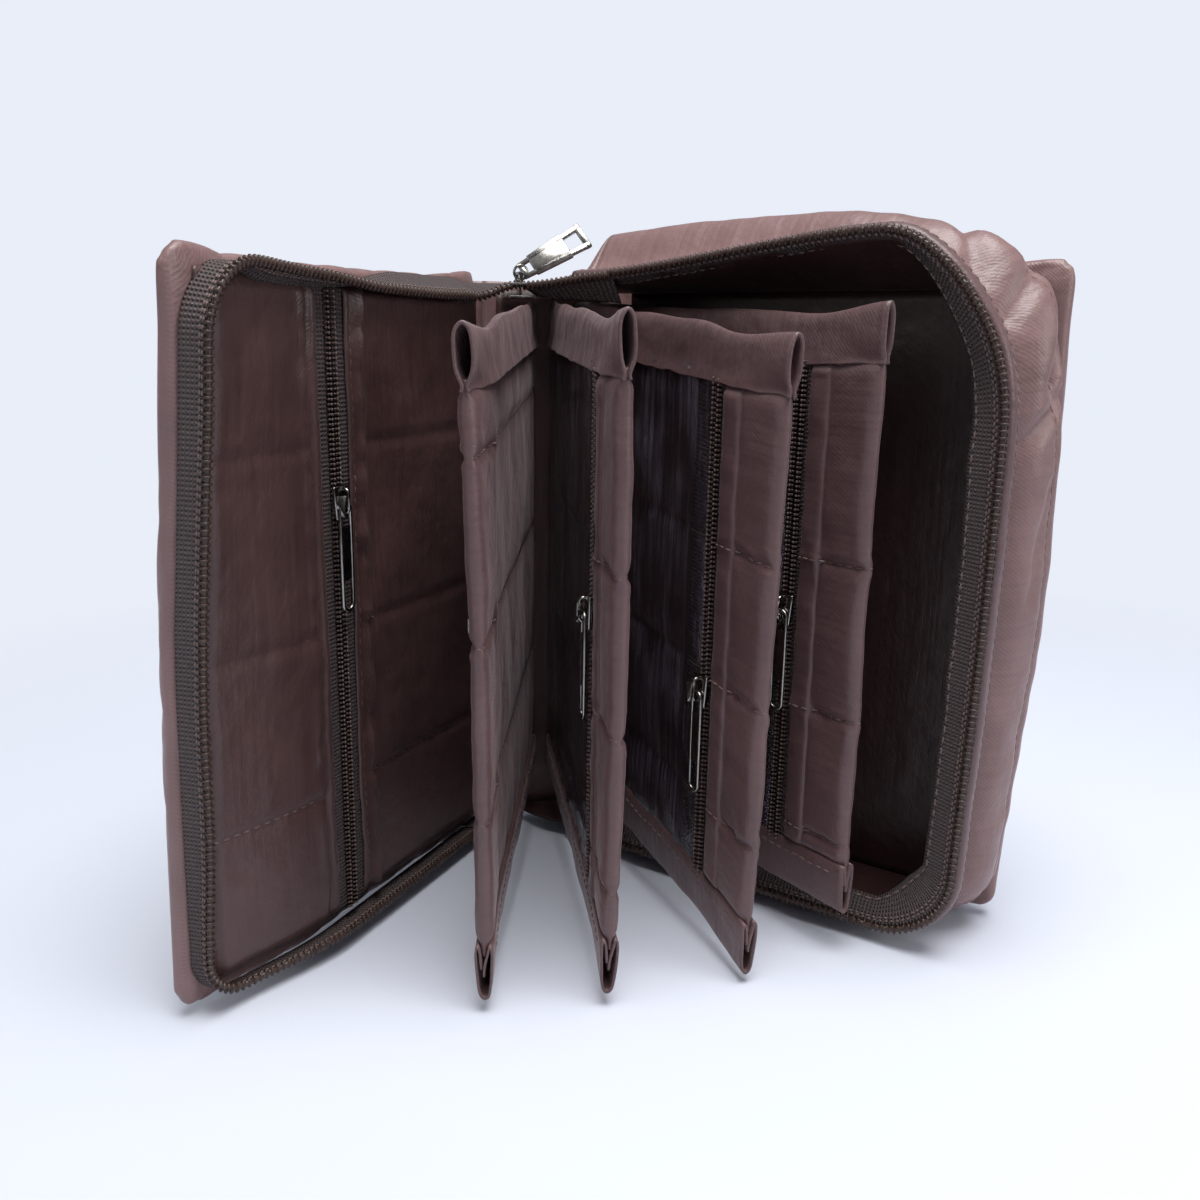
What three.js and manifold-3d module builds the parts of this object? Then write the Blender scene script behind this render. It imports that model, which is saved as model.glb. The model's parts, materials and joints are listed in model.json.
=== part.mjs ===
// Zip-around jewellery pouch that opens like a book and stands on its lower edge.
// Millimetres, +Z up. The back half lies along X, from its fold to its free edge, and its inside faces -Y.
// Each body is modelled as it lies in the closed pouch, in a group whose origin is on the body's own hinge
// line, and the groups are then turned to the half-open pose.
import * as THREE from "three";
import { mergeVertices } from "three/addons/utils/BufferGeometryUtils.js";
import Module from "manifold-3d";

const wasm = await Module();
wasm.setup();

// Clearance between pieces that touch on the real pouch
const fitGap = 0.3;

// Padded covers
const coverHeight = 190;
const coverWidth = 140; // fold line to free edge
const coverThickness = 6;
const coverCorner = 9;
const coverEdgeRound = 2;
const coverSkin = 1;
const liningThickness = 0.8;
const liningInset = 6; // lining's distance from the fold lines

// Spine between its two sewn folds
const spineThickness = 4;
const spineMargin = 3; // how far the spine stops short of the covers, top and bottom
const spineLiningMargin = 6;
const foldRadius = 2.4;

// Gusset round three sides of the back half
const rimInset = 5.5; // how far the covers overhang the gusset
const gussetWall = 1.6;
const gussetCorner = 9;
const gussetLiningWall = 0.6;
const gussetDepth = 26;
const gussetTopSwell = 8; // of its slack cloth, at the free end of the top run
const gussetFoldSwell = 3; // at the fold end of the top run
const gussetSideSwell = 2;
const rimBindingDepth = 3.4;
const rimBindingWall = 2.8;

// Main zip, one stringer on the rim of the back half and one on the front cover
const mainTapeWall = 1.2;
const mainCoilWall = 2.4;
const mainCoilDepth = 1.6;
const mainBackTapeDepth = 2.4;
const mainFrontTapeDepth = 6.6;
const mainRowGap = 1.4;
const mainZipStart = 18; // first tooth, from the fold lines

// Main slider, parked on the spine at the end of the zip, and its link and puller
const mainSliderLength = 13;
const mainSliderWidth = 9;
const mainPlate = 0.9;
const mainNeckWidth = 0.8;
const mainNeckLength = 4.4;
const mainCrownWidth = 1.2;
const mainCrownGap = 2.6;
const mainCrownLength = 8;
const mainLinkWire = 0.9;
const mainLinkBore = 1.7;
const mainPullerLength = 24;
const mainPullerWidth = 9;
const mainPullerThickness = 1.5;
const mainPullerSlotLength = 5;
const mainPullerSlotWall = 2;
const mainPullerEyeWall = 1.2;
const mainPullerEyeWidth = 2.4;
const mainPullerLift = THREE.MathUtils.degToRad(30);

// Leaves sewn to the spine
const lastLeafOffset = 9; // last leaf's seam, from the back fold
const leafPitch = 8;
const leafFreeGap = 9; // free edge to the gusset's lining in the closed pouch
const leafBottom = 17.5;
const leafTopMargin = 9.5; // below the covers' top
const leafDroop = 8.5; // how far the free edge hangs below the seam
const leafSeamRadius = 1.2;
const leafPocket = 1.6; // room between back sheet and window
const leafSheet = 0.6;
const leafFilm = 0.5;
const leafBandWidth = 21;
const leafBandThickness = 3.8;
const leafSleeveHeight = 13;
const leafSleeveThickness = 4.4;
const leafSleeveWall = 0.8;
const leafSleeveStart = 2.5;

// Pocket zips on the leaves and on the front cover
const tapeThickness = 0.5;
const tapeInnerWidth = 5;
const tapeOuterWidth = 4;
const coilWidth = 1.5;
const coilHeight = 1.2;
const rowGap = 1.4;
const coverZipOffset = 84; // from the front fold
const coverPocket = 1.3;
const pocketSheet = 0.4;

// Pocket sliders and pullers
const sliderLength = 9;
const sliderWidth = 6.6;
const sliderLowerPlate = 0.7;
const sliderUpperPlate = 0.8;
const sliderNeckWidth = 0.8;
const sliderNeckLength = 3;
const crownLength = 6.4;
const crownWidth = 1.4;
const crownGap = 1.4;
const crownBar = 0.7;
const crownPost = 0.9;
const pullerLength = 30.5;
const pullerWidth = 5.6;
const pullerThickness = 0.9;
const pullerSlotWidth = 2.4;
const pullerSlotLength = 4.6;
const pullerHoleLength = 7;
const pullerHoleWidth = 3.2;
const pullerHoleMargin = 1.2;

// Half-open pose
const foldOpen = THREE.MathUtils.degToRad(40); // each of the two folds
const leafFan = [18.5, 5.5, -10, -21.5].map(THREE.MathUtils.degToRad); // from square to the spine
const leafSliderDrops = [85.5, 81, 105.5, 84.5]; // from the leaves' top
const coverSliderDrop = 64; // from the cover's top

// Mesh fineness: steps in a quarter turn and in a full one, and the distance within which corners are one
const arcSteps = 6;
const smallArcSteps = 3;
const swellSteps = 6;
const circleSteps = 4 * arcSteps;
const smallCircleSteps = 4 * smallArcSteps;
const weldDistance = 1e-4;

const cloth = (color, roughness) => new THREE.MeshStandardMaterial({ color, roughness, metalness: 0 });
const metal = (color, roughness) => new THREE.MeshStandardMaterial({ color, roughness, metalness: 1 });
const satin = cloth(0x846b69, 0.55);
const lining = cloth(0x4a3432, 0.6);
const zipTape = cloth(0x453a3c, 0.85);
const film = new THREE.MeshStandardMaterial({ color: 0x3a2f36, roughness: 0.15, metalness: 0 });
const foam = cloth(0xb9b2a8, 0.95);
const nickel = metal(0xb4b3b4, 0.28);

// A mesh's geometry as a solid that can be joined and cut
function toSolid(geometry) {
  const loose = geometry.index ? geometry.toNonIndexed() : geometry;
  const bare = new THREE.BufferGeometry().setAttribute("position", loose.getAttribute("position"));
  const merged = mergeVertices(bare, weldDistance);
  const vertProperties = merged.getAttribute("position").array;
  const triVerts = new Uint32Array(merged.index.array);
  return new wasm.Manifold(new wasm.Mesh({ numProp: 3, vertProperties, triVerts }));
}

function toGeometry(solid) {
  const { vertProperties, triVerts } = solid.getMesh();
  const geometry = new THREE.BufferGeometry();
  geometry.setAttribute("position", new THREE.BufferAttribute(vertProperties, 3));
  return geometry.setIndex(new THREE.BufferAttribute(triVerts, 1));
}

const join = (...parts) => toGeometry(parts.map(toSolid).reduce((all, next) => all.add(next)));
const cut = (part, tool) => toGeometry(toSolid(part).subtract(toSolid(tool)));

function box([x0, x1], [y0, y1], [z0, z1]) {
  const geometry = new THREE.BoxGeometry(x1 - x0, y1 - y0, z1 - z0);
  return geometry.translate((x0 + x1) / 2, (y0 + y1) / 2, (z0 + z1) / 2);
}

const around = (middle, length) => [middle - length / 2, middle + length / 2];

// Outline of a rectangle with round corners, one radius for the low-x corners and one for the high-x ones
function roundedOutline([x0, x1], [z0, z1], lowRadius, highRadius = lowRadius) {
  const shape = new THREE.Shape();
  const quarter = Math.PI / 2;
  shape.absarc(x1 - highRadius, z1 - highRadius, highRadius, 0, quarter);
  shape.absarc(x0 + lowRadius, z1 - lowRadius, lowRadius, quarter, 2 * quarter);
  shape.absarc(x0 + lowRadius, z0 + lowRadius, lowRadius, 2 * quarter, 3 * quarter);
  shape.absarc(x1 - highRadius, z0 + highRadius, highRadius, 3 * quarter, 4 * quarter);
  return shape;
}

// An outline in X and Z, as thick as the Y range; a round eases both rims within that thickness
function slab(shape, [y0, y1], round = 0, curveSegments = arcSteps) {
  const geometry = new THREE.ExtrudeGeometry(shape, {
    depth: y1 - y0 - 2 * round,
    curveSegments,
    bevelEnabled: round > 0,
    bevelThickness: round,
    bevelSize: round,
    bevelSegments: smallArcSteps,
  });
  return geometry.rotateX(Math.PI / 2).translate(0, y1 - round, 0);
}

// An outline in X and Y, standing over the Z range
function pillar(shape, [z0, z1]) {
  const settings = { depth: z1 - z0, curveSegments: arcSteps, bevelEnabled: false };
  return new THREE.ExtrudeGeometry(shape, settings).translate(0, 0, z0);
}

const polygon = (points) => new THREE.Shape(points.map(([x, y]) => new THREE.Vector2(x, y)));

function piece(body, name, geometry, material) {
  const mesh = new THREE.Mesh(geometry, material);
  mesh.name = name;
  body.add(mesh);
  return mesh;
}

function body(parent, [x, y, z] = [0, 0, 0], turn = 0) {
  const group = new THREE.Group();
  group.position.set(x, y, z);
  group.rotation.z = turn;
  parent.add(group);
  return group;
}

// A padded cover: a sewn skin open to the inside, with foam in it; the inside faces `inward` along Y
function paddedCover(group, name, inward) {
  const half = coverThickness / 2;
  const foldSide = foldRadius + fitGap;
  const outline = (inset) =>
    roundedOutline([foldSide + inset, coverWidth - inset], [inset, coverHeight - inset], coverCorner - inset);
  const pocketInset = coverEdgeRound + coverSkin;
  const depth = (near, far) => [inward * near, inward * far].sort((a, b) => a - b);
  const skin = slab(outline(coverEdgeRound), depth(-half, half), coverEdgeRound);
  const hollow = slab(outline(pocketInset), depth(coverSkin - half, half + coverSkin));
  piece(group, `${name}_outer`, cut(skin, hollow), satin);
  const filling = slab(outline(pocketInset + fitGap), depth(coverSkin + fitGap - half, half));
  piece(group, `${name}_foam`, filling, foam);
}

// Outline of a band on the three open sides of a cover, from `start` at the fold round to the same place below
function rimOutline(inset, wall, start) {
  const outer = coverWidth - inset;
  const [low, high] = [inset, coverHeight - inset];
  const radius = gussetCorner + rimInset - inset;
  const quarter = Math.PI / 2;
  const shape = new THREE.Shape();
  shape.moveTo(start, low);
  shape.absarc(outer - radius, low + radius, radius, -quarter, 0);
  shape.absarc(outer - radius, high - radius, radius, 0, quarter);
  shape.lineTo(start, high);
  shape.lineTo(start, high - wall);
  shape.absarc(outer - radius, high - radius, radius - wall, quarter, 0, true);
  shape.absarc(outer - radius, low + radius, radius - wall, 0, -quarter, true);
  shape.lineTo(start, low + wall);
  return shape;
}

const rimBand = (inset, wall, yRange, start) => slab(rimOutline(inset, wall, start), yRange);

// A band whose slack cloth swells out between its two sewn edges, most at the top of its free end
function swollenBand(inset, wall, [y0, y1], start) {
  const outline = rimOutline(inset, wall, start).getPoints(arcSteps);
  const outer = coverWidth - inset;
  const high = coverHeight - inset;
  const points = [];
  for (let row = 0; row <= swellSteps; row += 1) {
    const share = row / swellSteps;
    const belly = Math.sin(Math.PI * share);
    for (const { x, y: z } of outline) {
      const along = (x - start) / (outer - start);
      const up = THREE.MathUtils.clamp((z - high + gussetCorner) / gussetCorner, 0, 1);
      const rise = up * THREE.MathUtils.lerp(gussetFoldSwell, gussetTopSwell, along);
      const out = along * gussetSideSwell;
      points.push(x + belly * out, THREE.MathUtils.lerp(y0, y1, share), z + belly * rise);
    }
  }
  const count = outline.length;
  const last = swellSteps * count;
  const cap = THREE.ShapeUtils.triangulateShape(outline, []);
  const faces = cap.flatMap(([a, b, c]) => [a, b, c, last + a, last + c, last + b]);
  for (let row = 0; row < last; row += count) {
    for (let i = 0; i < count; i += 1) {
      const j = (i + 1) % count;
      const [a, b, c, d] = [row + i, row + j, row + count + j, row + count + i];
      faces.push(a, d, c, a, c, b);
    }
  }
  const geometry = new THREE.BufferGeometry();
  geometry.setAttribute("position", new THREE.Float32BufferAttribute(points, 3));
  return geometry.setIndex(faces);
}

// Places along Y of the closed pouch, from the back cover's middle inwards
const coverFace = coverThickness / 2 + fitGap;
const gussetEnd = coverFace + gussetDepth;
const rimBindingEnd = gussetEnd + fitGap + rimBindingDepth;
const mainTapeEnd = rimBindingEnd + fitGap + mainBackTapeDepth;
const mainZipLine = mainTapeEnd + mainCoilDepth + mainRowGap / 2;
const frontZipLine = coverFace + mainFrontTapeDepth + mainCoilDepth + mainRowGap / 2;
const spineWidth = mainZipLine + frontZipLine; // fold line to fold line
const rimMiddle = rimInset + gussetWall / 2;
const wallInset = (wall) => rimMiddle - wall / 2;
const tapeInside = rimMiddle + mainTapeWall / 2 + fitGap;
const gussetInside = rimInset + gussetWall + fitGap + gussetLiningWall + fitGap;
const spineFace = spineThickness / 2 + fitGap + liningThickness; // of the lining that the leaves are sewn to
const leafSeam = spineFace + fitGap + leafSeamRadius;
const leafLength = coverWidth - gussetInside - leafFreeGap - leafSeam;
const leafTop = coverHeight - leafTopMargin;

// Main zip tape with its row of coils, as a band on the rim; the coils lie past the tape along `side`
function mainStringer(tapeFrom, tapeTo, side) {
  const order = (a, b) => [a, b].sort((p, q) => p - q);
  const rowEnd = tapeTo + side * mainCoilDepth;
  const tape = rimBand(wallInset(mainTapeWall), mainTapeWall, order(tapeFrom, tapeTo), mainZipStart);
  const row = rimBand(wallInset(mainCoilWall), mainCoilWall, order(tapeTo, rowEnd), mainZipStart);
  return join(tape, row);
}

function buildBackHalf(group) {
  paddedCover(group, "back_cover", -1);
  const start = spineFace + fitGap;
  const gussetY = [-gussetEnd, -coverFace];
  piece(group, "gusset_band", swollenBand(rimInset, gussetWall, gussetY, start), satin);
  const insideOfBand = rimInset + gussetWall + fitGap;
  piece(group, "gusset_lining", rimBand(insideOfBand, gussetLiningWall, gussetY, start), lining);
  const bindingY = [-rimBindingEnd, -gussetEnd - fitGap];
  piece(group, "rim_binding", rimBand(wallInset(rimBindingWall), rimBindingWall, bindingY, start), satin);
  piece(group, "main_zip_back", mainStringer(-rimBindingEnd - fitGap, -mainTapeEnd, -1), zipTape);
  const corner = gussetCorner + rimInset - gussetInside;
  const outline = roundedOutline(
    [liningInset, coverWidth - gussetInside],
    [gussetInside, coverHeight - gussetInside],
    coverEdgeRound,
    corner,
  );
  piece(group, "back_lining", slab(outline, [-coverFace - liningThickness, -coverFace]), lining);
}

// One tape of a pocket zip with its row of coils; `side` is the side of the chain along X
function pocketStringer(width, side, [z0, z1]) {
  const near = rowGap / 2;
  const profile = [
    [near, -tapeThickness],
    [near + width, -tapeThickness],
    [near + width, 0],
    [near + coilWidth, 0],
    [near + coilWidth, coilHeight],
    [near, coilHeight],
  ];
  const placed = profile.map(([x, y]) => [side * x, y]);
  return pillar(polygon(placed), [z0, z1]);
}

// Pocket slider about its chain: the tape's outer face is at y = 0 and the crown stands out along +Y
const upperPlateFace = coilHeight + fitGap + sliderUpperPlate;
const pullerPivot = upperPlateFace + crownGap / 2;

function pocketSlider() {
  const lowerTop = -tapeThickness - fitGap;
  const lower = box(around(0, sliderWidth), [lowerTop - sliderLowerPlate, lowerTop], around(0, sliderLength));
  const upperY = [upperPlateFace - sliderUpperPlate, upperPlateFace];
  const upper = box(around(0, sliderWidth), upperY, around(0, sliderLength));
  const neckY = [lowerTop - sliderLowerPlate / 2, upperPlateFace - sliderUpperPlate / 2];
  const neck = box(around(0, sliderNeckWidth), neckY, around(0, sliderNeckLength));
  const barTop = upperPlateFace + crownGap + crownBar;
  const crownY = [upperPlateFace - sliderUpperPlate / 2, barTop];
  const crownBlock = box(around(0, crownWidth), crownY, around(0, crownLength));
  const windowY = [upperPlateFace, upperPlateFace + crownGap];
  const window = box(around(0, 2 * crownWidth), windowY, around(0, crownLength - 2 * crownPost));
  return join(lower, neck, upper, cut(crownBlock, window));
}

// Pocket puller hanging from its pivot at the origin, in the X-Z plane
function pocketPuller() {
  const bar = pullerThickness / 2;
  const outline = roundedOutline(around(0, pullerWidth), [bar - pullerLength, bar], pullerWidth / 2 - bar);
  const slotEnd = -bar - pullerSlotLength;
  outline.holes.push(roundedOutline(around(0, pullerSlotWidth), [slotEnd, -bar], bar));
  const holeLow = bar - pullerLength + pullerHoleMargin;
  const holeRange = [holeLow, holeLow + pullerHoleLength];
  outline.holes.push(roundedOutline(around(0, pullerHoleWidth), holeRange, pullerHoleWidth / 2 - bar));
  return slab(outline, around(0, pullerThickness), 0, smallArcSteps);
}

// A slider on its chain and the puller that hangs from it, each in a body of its own
function addSlider(parent, name, position, facing) {
  const sliderBody = body(parent, position, facing);
  piece(sliderBody, `${name}_slider`, pocketSlider(), nickel);
  const pullerBody = body(sliderBody, [0, pullerPivot, 0]);
  piece(pullerBody, `${name}_puller`, pocketPuller(), nickel);
}

function buildCover(group) {
  paddedCover(group, "front_cover", 1);
  piece(group, "main_zip_front", mainStringer(coverFace, coverFace + mainFrontTapeDepth, 1), zipTape);

  const sheetTop = coverFace + pocketSheet;
  const zRange = [tapeInside, coverHeight - tapeInside];
  const outerEdge = coverWidth - tapeInside;
  const corner = gussetCorner + rimInset - tapeInside;
  const sheetOutline = roundedOutline([liningInset, outerEdge], zRange, coverEdgeRound, corner);
  piece(group, "front_pocket_sheet", slab(sheetOutline, [coverFace, sheetTop]), lining);

  const tapeFace = sheetTop + coverPocket + tapeThickness;
  const tapeY = [tapeFace - tapeThickness, tapeFace];
  const outerTapeEdge = coverZipOffset + rowGap / 2 + tapeOuterWidth + fitGap;
  const innerTapeEdge = coverZipOffset - rowGap / 2 - tapeInnerWidth - fitGap;
  const outerPanel = roundedOutline([outerTapeEdge, outerEdge], zRange, coverEdgeRound, corner);
  piece(group, "front_lining_outer", slab(outerPanel, tapeY), lining);
  const innerPanel = roundedOutline([liningInset, innerTapeEdge], zRange, coverEdgeRound);
  piece(group, "front_lining_inner", slab(innerPanel, tapeY), lining);

  const chain = body(group, [coverZipOffset, tapeFace, 0]);
  piece(chain, "front_zip_outer", pocketStringer(tapeOuterWidth, 1, zRange), zipTape);
  piece(chain, "front_zip_inner", pocketStringer(tapeInnerWidth, -1, zRange), zipTape);
  addSlider(group, "front", [coverZipOffset, tapeFace, coverHeight - coverSliderDrop], 0);
}

// Leaf pieces hang lower the further they are from the seam
function droop(geometry) {
  const points = geometry.getAttribute("position");
  for (let i = 0; i < points.count; i += 1) {
    points.setZ(i, points.getZ(i) - (leafDroop * points.getX(i)) / leafLength);
  }
  return geometry;
}

// Sleeve of satin folded over an edge of a leaf, open at both ends
function leafSleeve([z0, z1]) {
  const radius = (leafSleeveThickness - leafSleeveWall) / 2;
  const outer = roundedOutline(around(0, leafSleeveThickness), [z0, z1], radius);
  const boreRadius = radius - leafSleeveWall;
  const boreY = around(0, leafSleeveThickness - 2 * leafSleeveWall);
  outer.holes.push(roundedOutline(boreY, [z0 + leafSleeveWall, z1 - leafSleeveWall], boreRadius));
  const tube = slab(outer, [leafSleeveStart, leafLength], 0, smallArcSteps);
  return tube.rotateZ(-Math.PI / 2);
}

const leafWindowFace = -leafPocket + leafSheet - leafFilm; // outer face of the film and of the zip tape

function buildLeaf(group, name, sliderDrop) {
  const sheetY = [leafSeamRadius - leafSheet, leafSeamRadius];
  const inner = [leafBottom + leafSleeveHeight + fitGap, leafTop - leafSleeveHeight - fitGap];
  const bandStart = leafLength - leafBandWidth;
  const zipOffset = bandStart - fitGap - tapeOuterWidth - rowGap / 2;

  const height = leafTop - leafBottom;
  const seam = new THREE.CylinderGeometry(leafSeamRadius, leafSeamRadius, height, smallCircleSteps);
  seam.rotateX(Math.PI / 2).translate(0, 0, (leafTop + leafBottom) / 2);
  const sheet = box([0, bandStart - fitGap], sheetY, inner);
  piece(group, `${name}_back`, droop(join(seam, sheet)), satin);

  const windowEnd = zipOffset - rowGap / 2 - tapeInnerWidth - fitGap;
  const windowX = [leafSeamRadius + fitGap, windowEnd];
  const filmY = [leafWindowFace, leafWindowFace + leafFilm];
  piece(group, `${name}_window`, droop(box(windowX, filmY, inner)), film);

  const bandY = around(0, leafBandThickness);
  const bandRadius = leafBandThickness / 2 - leafSleeveWall;
  const band = new THREE.Shape();
  band.moveTo(bandStart, bandY[0]);
  band.absarc(leafLength - bandRadius, bandY[0] + bandRadius, bandRadius, -Math.PI / 2, 0);
  band.absarc(leafLength - bandRadius, bandY[1] - bandRadius, bandRadius, 0, Math.PI / 2);
  band.lineTo(bandStart, bandY[1]);
  piece(group, `${name}_edge_band`, droop(pillar(band, inner)), satin);

  const topSleeve = leafSleeve([leafTop - leafSleeveHeight, leafTop]);
  piece(group, `${name}_top_sleeve`, droop(topSleeve), satin);
  const binding = leafSleeve([leafBottom, leafBottom + leafSleeveHeight]);
  piece(group, `${name}_bottom_binding`, droop(binding), satin);

  const fallAtZip = (leafDroop * zipOffset) / leafLength;
  const chain = body(group, [zipOffset, leafWindowFace, -fallAtZip], Math.PI);
  piece(chain, `${name}_zip_outer`, pocketStringer(tapeOuterWidth, -1, inner), zipTape);
  piece(chain, `${name}_zip_inner`, pocketStringer(tapeInnerWidth, 1, inner), zipTape);
  addSlider(group, name, [zipOffset, leafWindowFace, leafTop - sliderDrop], Math.PI);
}

// Main slider about its chain, which runs along X, with its crown standing up
const mainUpperFace = mainCoilWall / 2 + fitGap + mainPlate;
const mainCrownMiddle = mainUpperFace + mainCrownGap + mainPlate / 2;

function mainSlider() {
  const plateY = around(0, mainSliderWidth);
  const plateX = around(0, mainSliderLength);
  const upper = box(plateX, plateY, [mainUpperFace - mainPlate, mainUpperFace]);
  const lower = box(plateX, plateY, [-mainUpperFace, mainPlate - mainUpperFace]);
  const neckZ = around(0, 2 * mainUpperFace - mainPlate);
  const neck = box(around(0, mainNeckLength), around(0, mainNeckWidth), neckZ);
  const crownTop = mainUpperFace + mainCrownGap + mainPlate;
  const crownZ = [mainUpperFace - mainPlate / 2, crownTop];
  const crownBlock = box(around(0, mainCrownLength), around(0, mainCrownWidth), crownZ);
  const windowX = around(0, mainCrownLength - 2 * mainPlate);
  const window = box(windowX, around(0, 2 * mainCrownWidth), [mainUpperFace, mainUpperFace + mainCrownGap]);
  return join(lower, neck, upper, cut(crownBlock, window));
}

// Ring link round the crown's bar, and the slotted plate that it carries; both lie along +Y from the bar
const linkRadius = mainLinkBore + mainLinkWire / 2;
const crownBarReach = Math.hypot(mainCrownWidth, mainPlate) / 2;
const linkMiddle = mainLinkBore - crownBarReach - fitGap;

function mainLink() {
  const ring = new THREE.TorusGeometry(linkRadius, mainLinkWire / 2, smallCircleSteps, circleSteps);
  return ring.rotateY(Math.PI / 2).translate(0, linkMiddle, 0);
}

function mainPuller() {
  const eyeStart = linkMiddle + mainLinkBore - fitGap - mainPullerEyeWall;
  const plateEnd = eyeStart + mainPullerLength;
  const outline = roundedOutline(around(0, mainPullerWidth), [eyeStart, plateEnd], mainPullerEyeWall);
  const eyeLength = mainLinkWire + 2 * fitGap;
  const eyeFrom = eyeStart + mainPullerEyeWall;
  outline.holes.push(roundedOutline(around(0, mainPullerEyeWidth), [eyeFrom, eyeFrom + eyeLength], fitGap));
  const slotTo = plateEnd - mainPullerSlotWall;
  const slotWidth = mainPullerWidth - 2 * mainPullerSlotWall;
  outline.holes.push(roundedOutline(around(0, slotWidth), [slotTo - mainPullerSlotLength, slotTo], fitGap));
  const plate = slab(outline, around(0, mainPullerThickness), 0, smallArcSteps);
  return plate.rotateX(-Math.PI / 2);
}

function buildSpine(group) {
  const half = spineThickness / 2;
  const zRange = [spineMargin, coverHeight - spineMargin];
  const panelY = [foldRadius + fitGap - spineWidth, -foldRadius - fitGap];
  piece(group, "spine_outer", box([-half, half], panelY, zRange), satin);
  const liningX = [half + fitGap, spineFace];
  const liningZ = [spineLiningMargin, coverHeight - spineLiningMargin];
  piece(group, "spine_lining", box(liningX, [liningInset - spineWidth, -liningInset], liningZ), lining);
  for (const [name, y] of [["back_fold", 0], ["front_fold", -spineWidth]]) {
    const fold = new THREE.CylinderGeometry(foldRadius, foldRadius, zRange[1] - zRange[0], circleSteps);
    piece(group, name, fold.rotateX(Math.PI / 2).translate(0, y, coverHeight / 2), satin);
  }

  const parked = spineFace + fitGap + mainSliderLength / 2;
  const sliderBody = body(group, [parked, -mainZipLine, coverHeight - rimMiddle]);
  piece(sliderBody, "main_slider", mainSlider(), nickel);
  const pullerBody = body(sliderBody, [0, 0, mainCrownMiddle]);
  pullerBody.rotation.x = mainPullerLift;
  piece(pullerBody, "main_link", mainLink(), nickel);
  piece(pullerBody, "main_puller", mainPuller(), nickel);

  leafFan.forEach((fan, i) => {
    const behind = leafFan.length - 1 - i;
    const leaf = body(group, [leafSeam, -lastLeafOffset - behind * leafPitch, 0], -fan);
    buildLeaf(leaf, `leaf_${i + 1}`, leafSliderDrops[i]);
  });
}

const pouch = new THREE.Group();
const backHalf = body(pouch, [-coverWidth / 2, 0, 0]);
buildBackHalf(backHalf);
const spine = body(backHalf, [0, 0, 0], -foldOpen);
buildSpine(spine);
const cover = body(spine, [0, -spineWidth, 0], -foldOpen);
buildCover(cover);

export default pouch;
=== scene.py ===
# Zip-around jewellery pouch of satin, standing half open like a book.
# Each piece is shaped in millimetres as it lies in the closed pouch, in its body's own frame, with the
# origin on the body's hinge line, and is then put in that body's place in the half-open pose.
import bisect
import functools
import json
import math

import bmesh
import bpy
from mathutils import Matrix, Vector, noise


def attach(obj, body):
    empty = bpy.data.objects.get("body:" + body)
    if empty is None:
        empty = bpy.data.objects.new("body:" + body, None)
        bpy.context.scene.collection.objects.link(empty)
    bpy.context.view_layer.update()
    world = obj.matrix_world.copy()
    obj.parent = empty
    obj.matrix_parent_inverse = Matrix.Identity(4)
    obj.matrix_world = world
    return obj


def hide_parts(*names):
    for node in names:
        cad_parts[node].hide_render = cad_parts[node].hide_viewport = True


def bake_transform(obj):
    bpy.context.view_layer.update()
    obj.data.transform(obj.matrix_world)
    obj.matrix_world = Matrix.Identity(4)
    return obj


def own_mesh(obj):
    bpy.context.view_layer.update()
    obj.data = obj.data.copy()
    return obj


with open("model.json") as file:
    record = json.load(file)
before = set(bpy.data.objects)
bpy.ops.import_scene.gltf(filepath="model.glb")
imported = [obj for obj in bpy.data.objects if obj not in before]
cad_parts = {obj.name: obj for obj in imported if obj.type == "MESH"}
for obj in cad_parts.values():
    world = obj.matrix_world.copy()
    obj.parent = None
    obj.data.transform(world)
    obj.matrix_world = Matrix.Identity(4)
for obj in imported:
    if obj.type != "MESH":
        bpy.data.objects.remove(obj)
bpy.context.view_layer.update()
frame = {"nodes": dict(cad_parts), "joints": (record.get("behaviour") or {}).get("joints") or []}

MM = 0.001
TAU = 2 * math.pi
JOINTS = {j["name"]: j for j in frame["joints"]}
LEAVES = (1, 2, 3, 4)

# Half-open pose, in degrees
FOLD_OPEN = 40
LEAF_FAN = {1: 18.5, 2: 5.5, 3: -10, 4: -21.5}
PULLER_LIFT = 30


def turn(degrees, axis="Z"):
    return Matrix.Rotation(math.radians(degrees), 4, axis)


def hinge_place(joint, opened):
    return Matrix.Translation(JOINTS[joint]["pos_m"]) @ turn(-opened) @ Matrix.Scale(MM, 4)


PLACES = {
    "back_half": hinge_place("spine_fold", 0),
    "spine": hinge_place("spine_fold", FOLD_OPEN),
    "front_half": hinge_place("cover_fold", 2 * FOLD_OPEN),
}
for leaf in LEAVES:
    PLACES[f"leaf_{leaf}"] = hinge_place(f"leaf_{leaf}_turn", FOLD_OPEN + LEAF_FAN[leaf])


def pivot_of(name, parent):
    """A puller's pivot in its parent's frame."""
    return PLACES[parent].inverted() @ Vector(JOINTS[f"{name}_puller_swing"]["pos_m"])


def hang_slider(name, parent, facing):
    """Places a slider and its puller at the puller's pivot, with +Y out of the pocket."""
    place = PLACES[parent] @ Matrix.Translation(pivot_of(name, parent)) @ turn(facing)
    PLACES[f"{name}_slide"] = PLACES[f"{name}_pull"] = place


for leaf in LEAVES:
    hang_slider(f"leaf_{leaf}", f"leaf_{leaf}", 180)
hang_slider("front", "front_half", 0)
MAIN_PIVOT = pivot_of("main", "spine")
PLACES["main_pull"] = PLACES["spine"] @ Matrix.Translation(MAIN_PIVOT) @ turn(PULLER_LIFT, "X")


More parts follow.
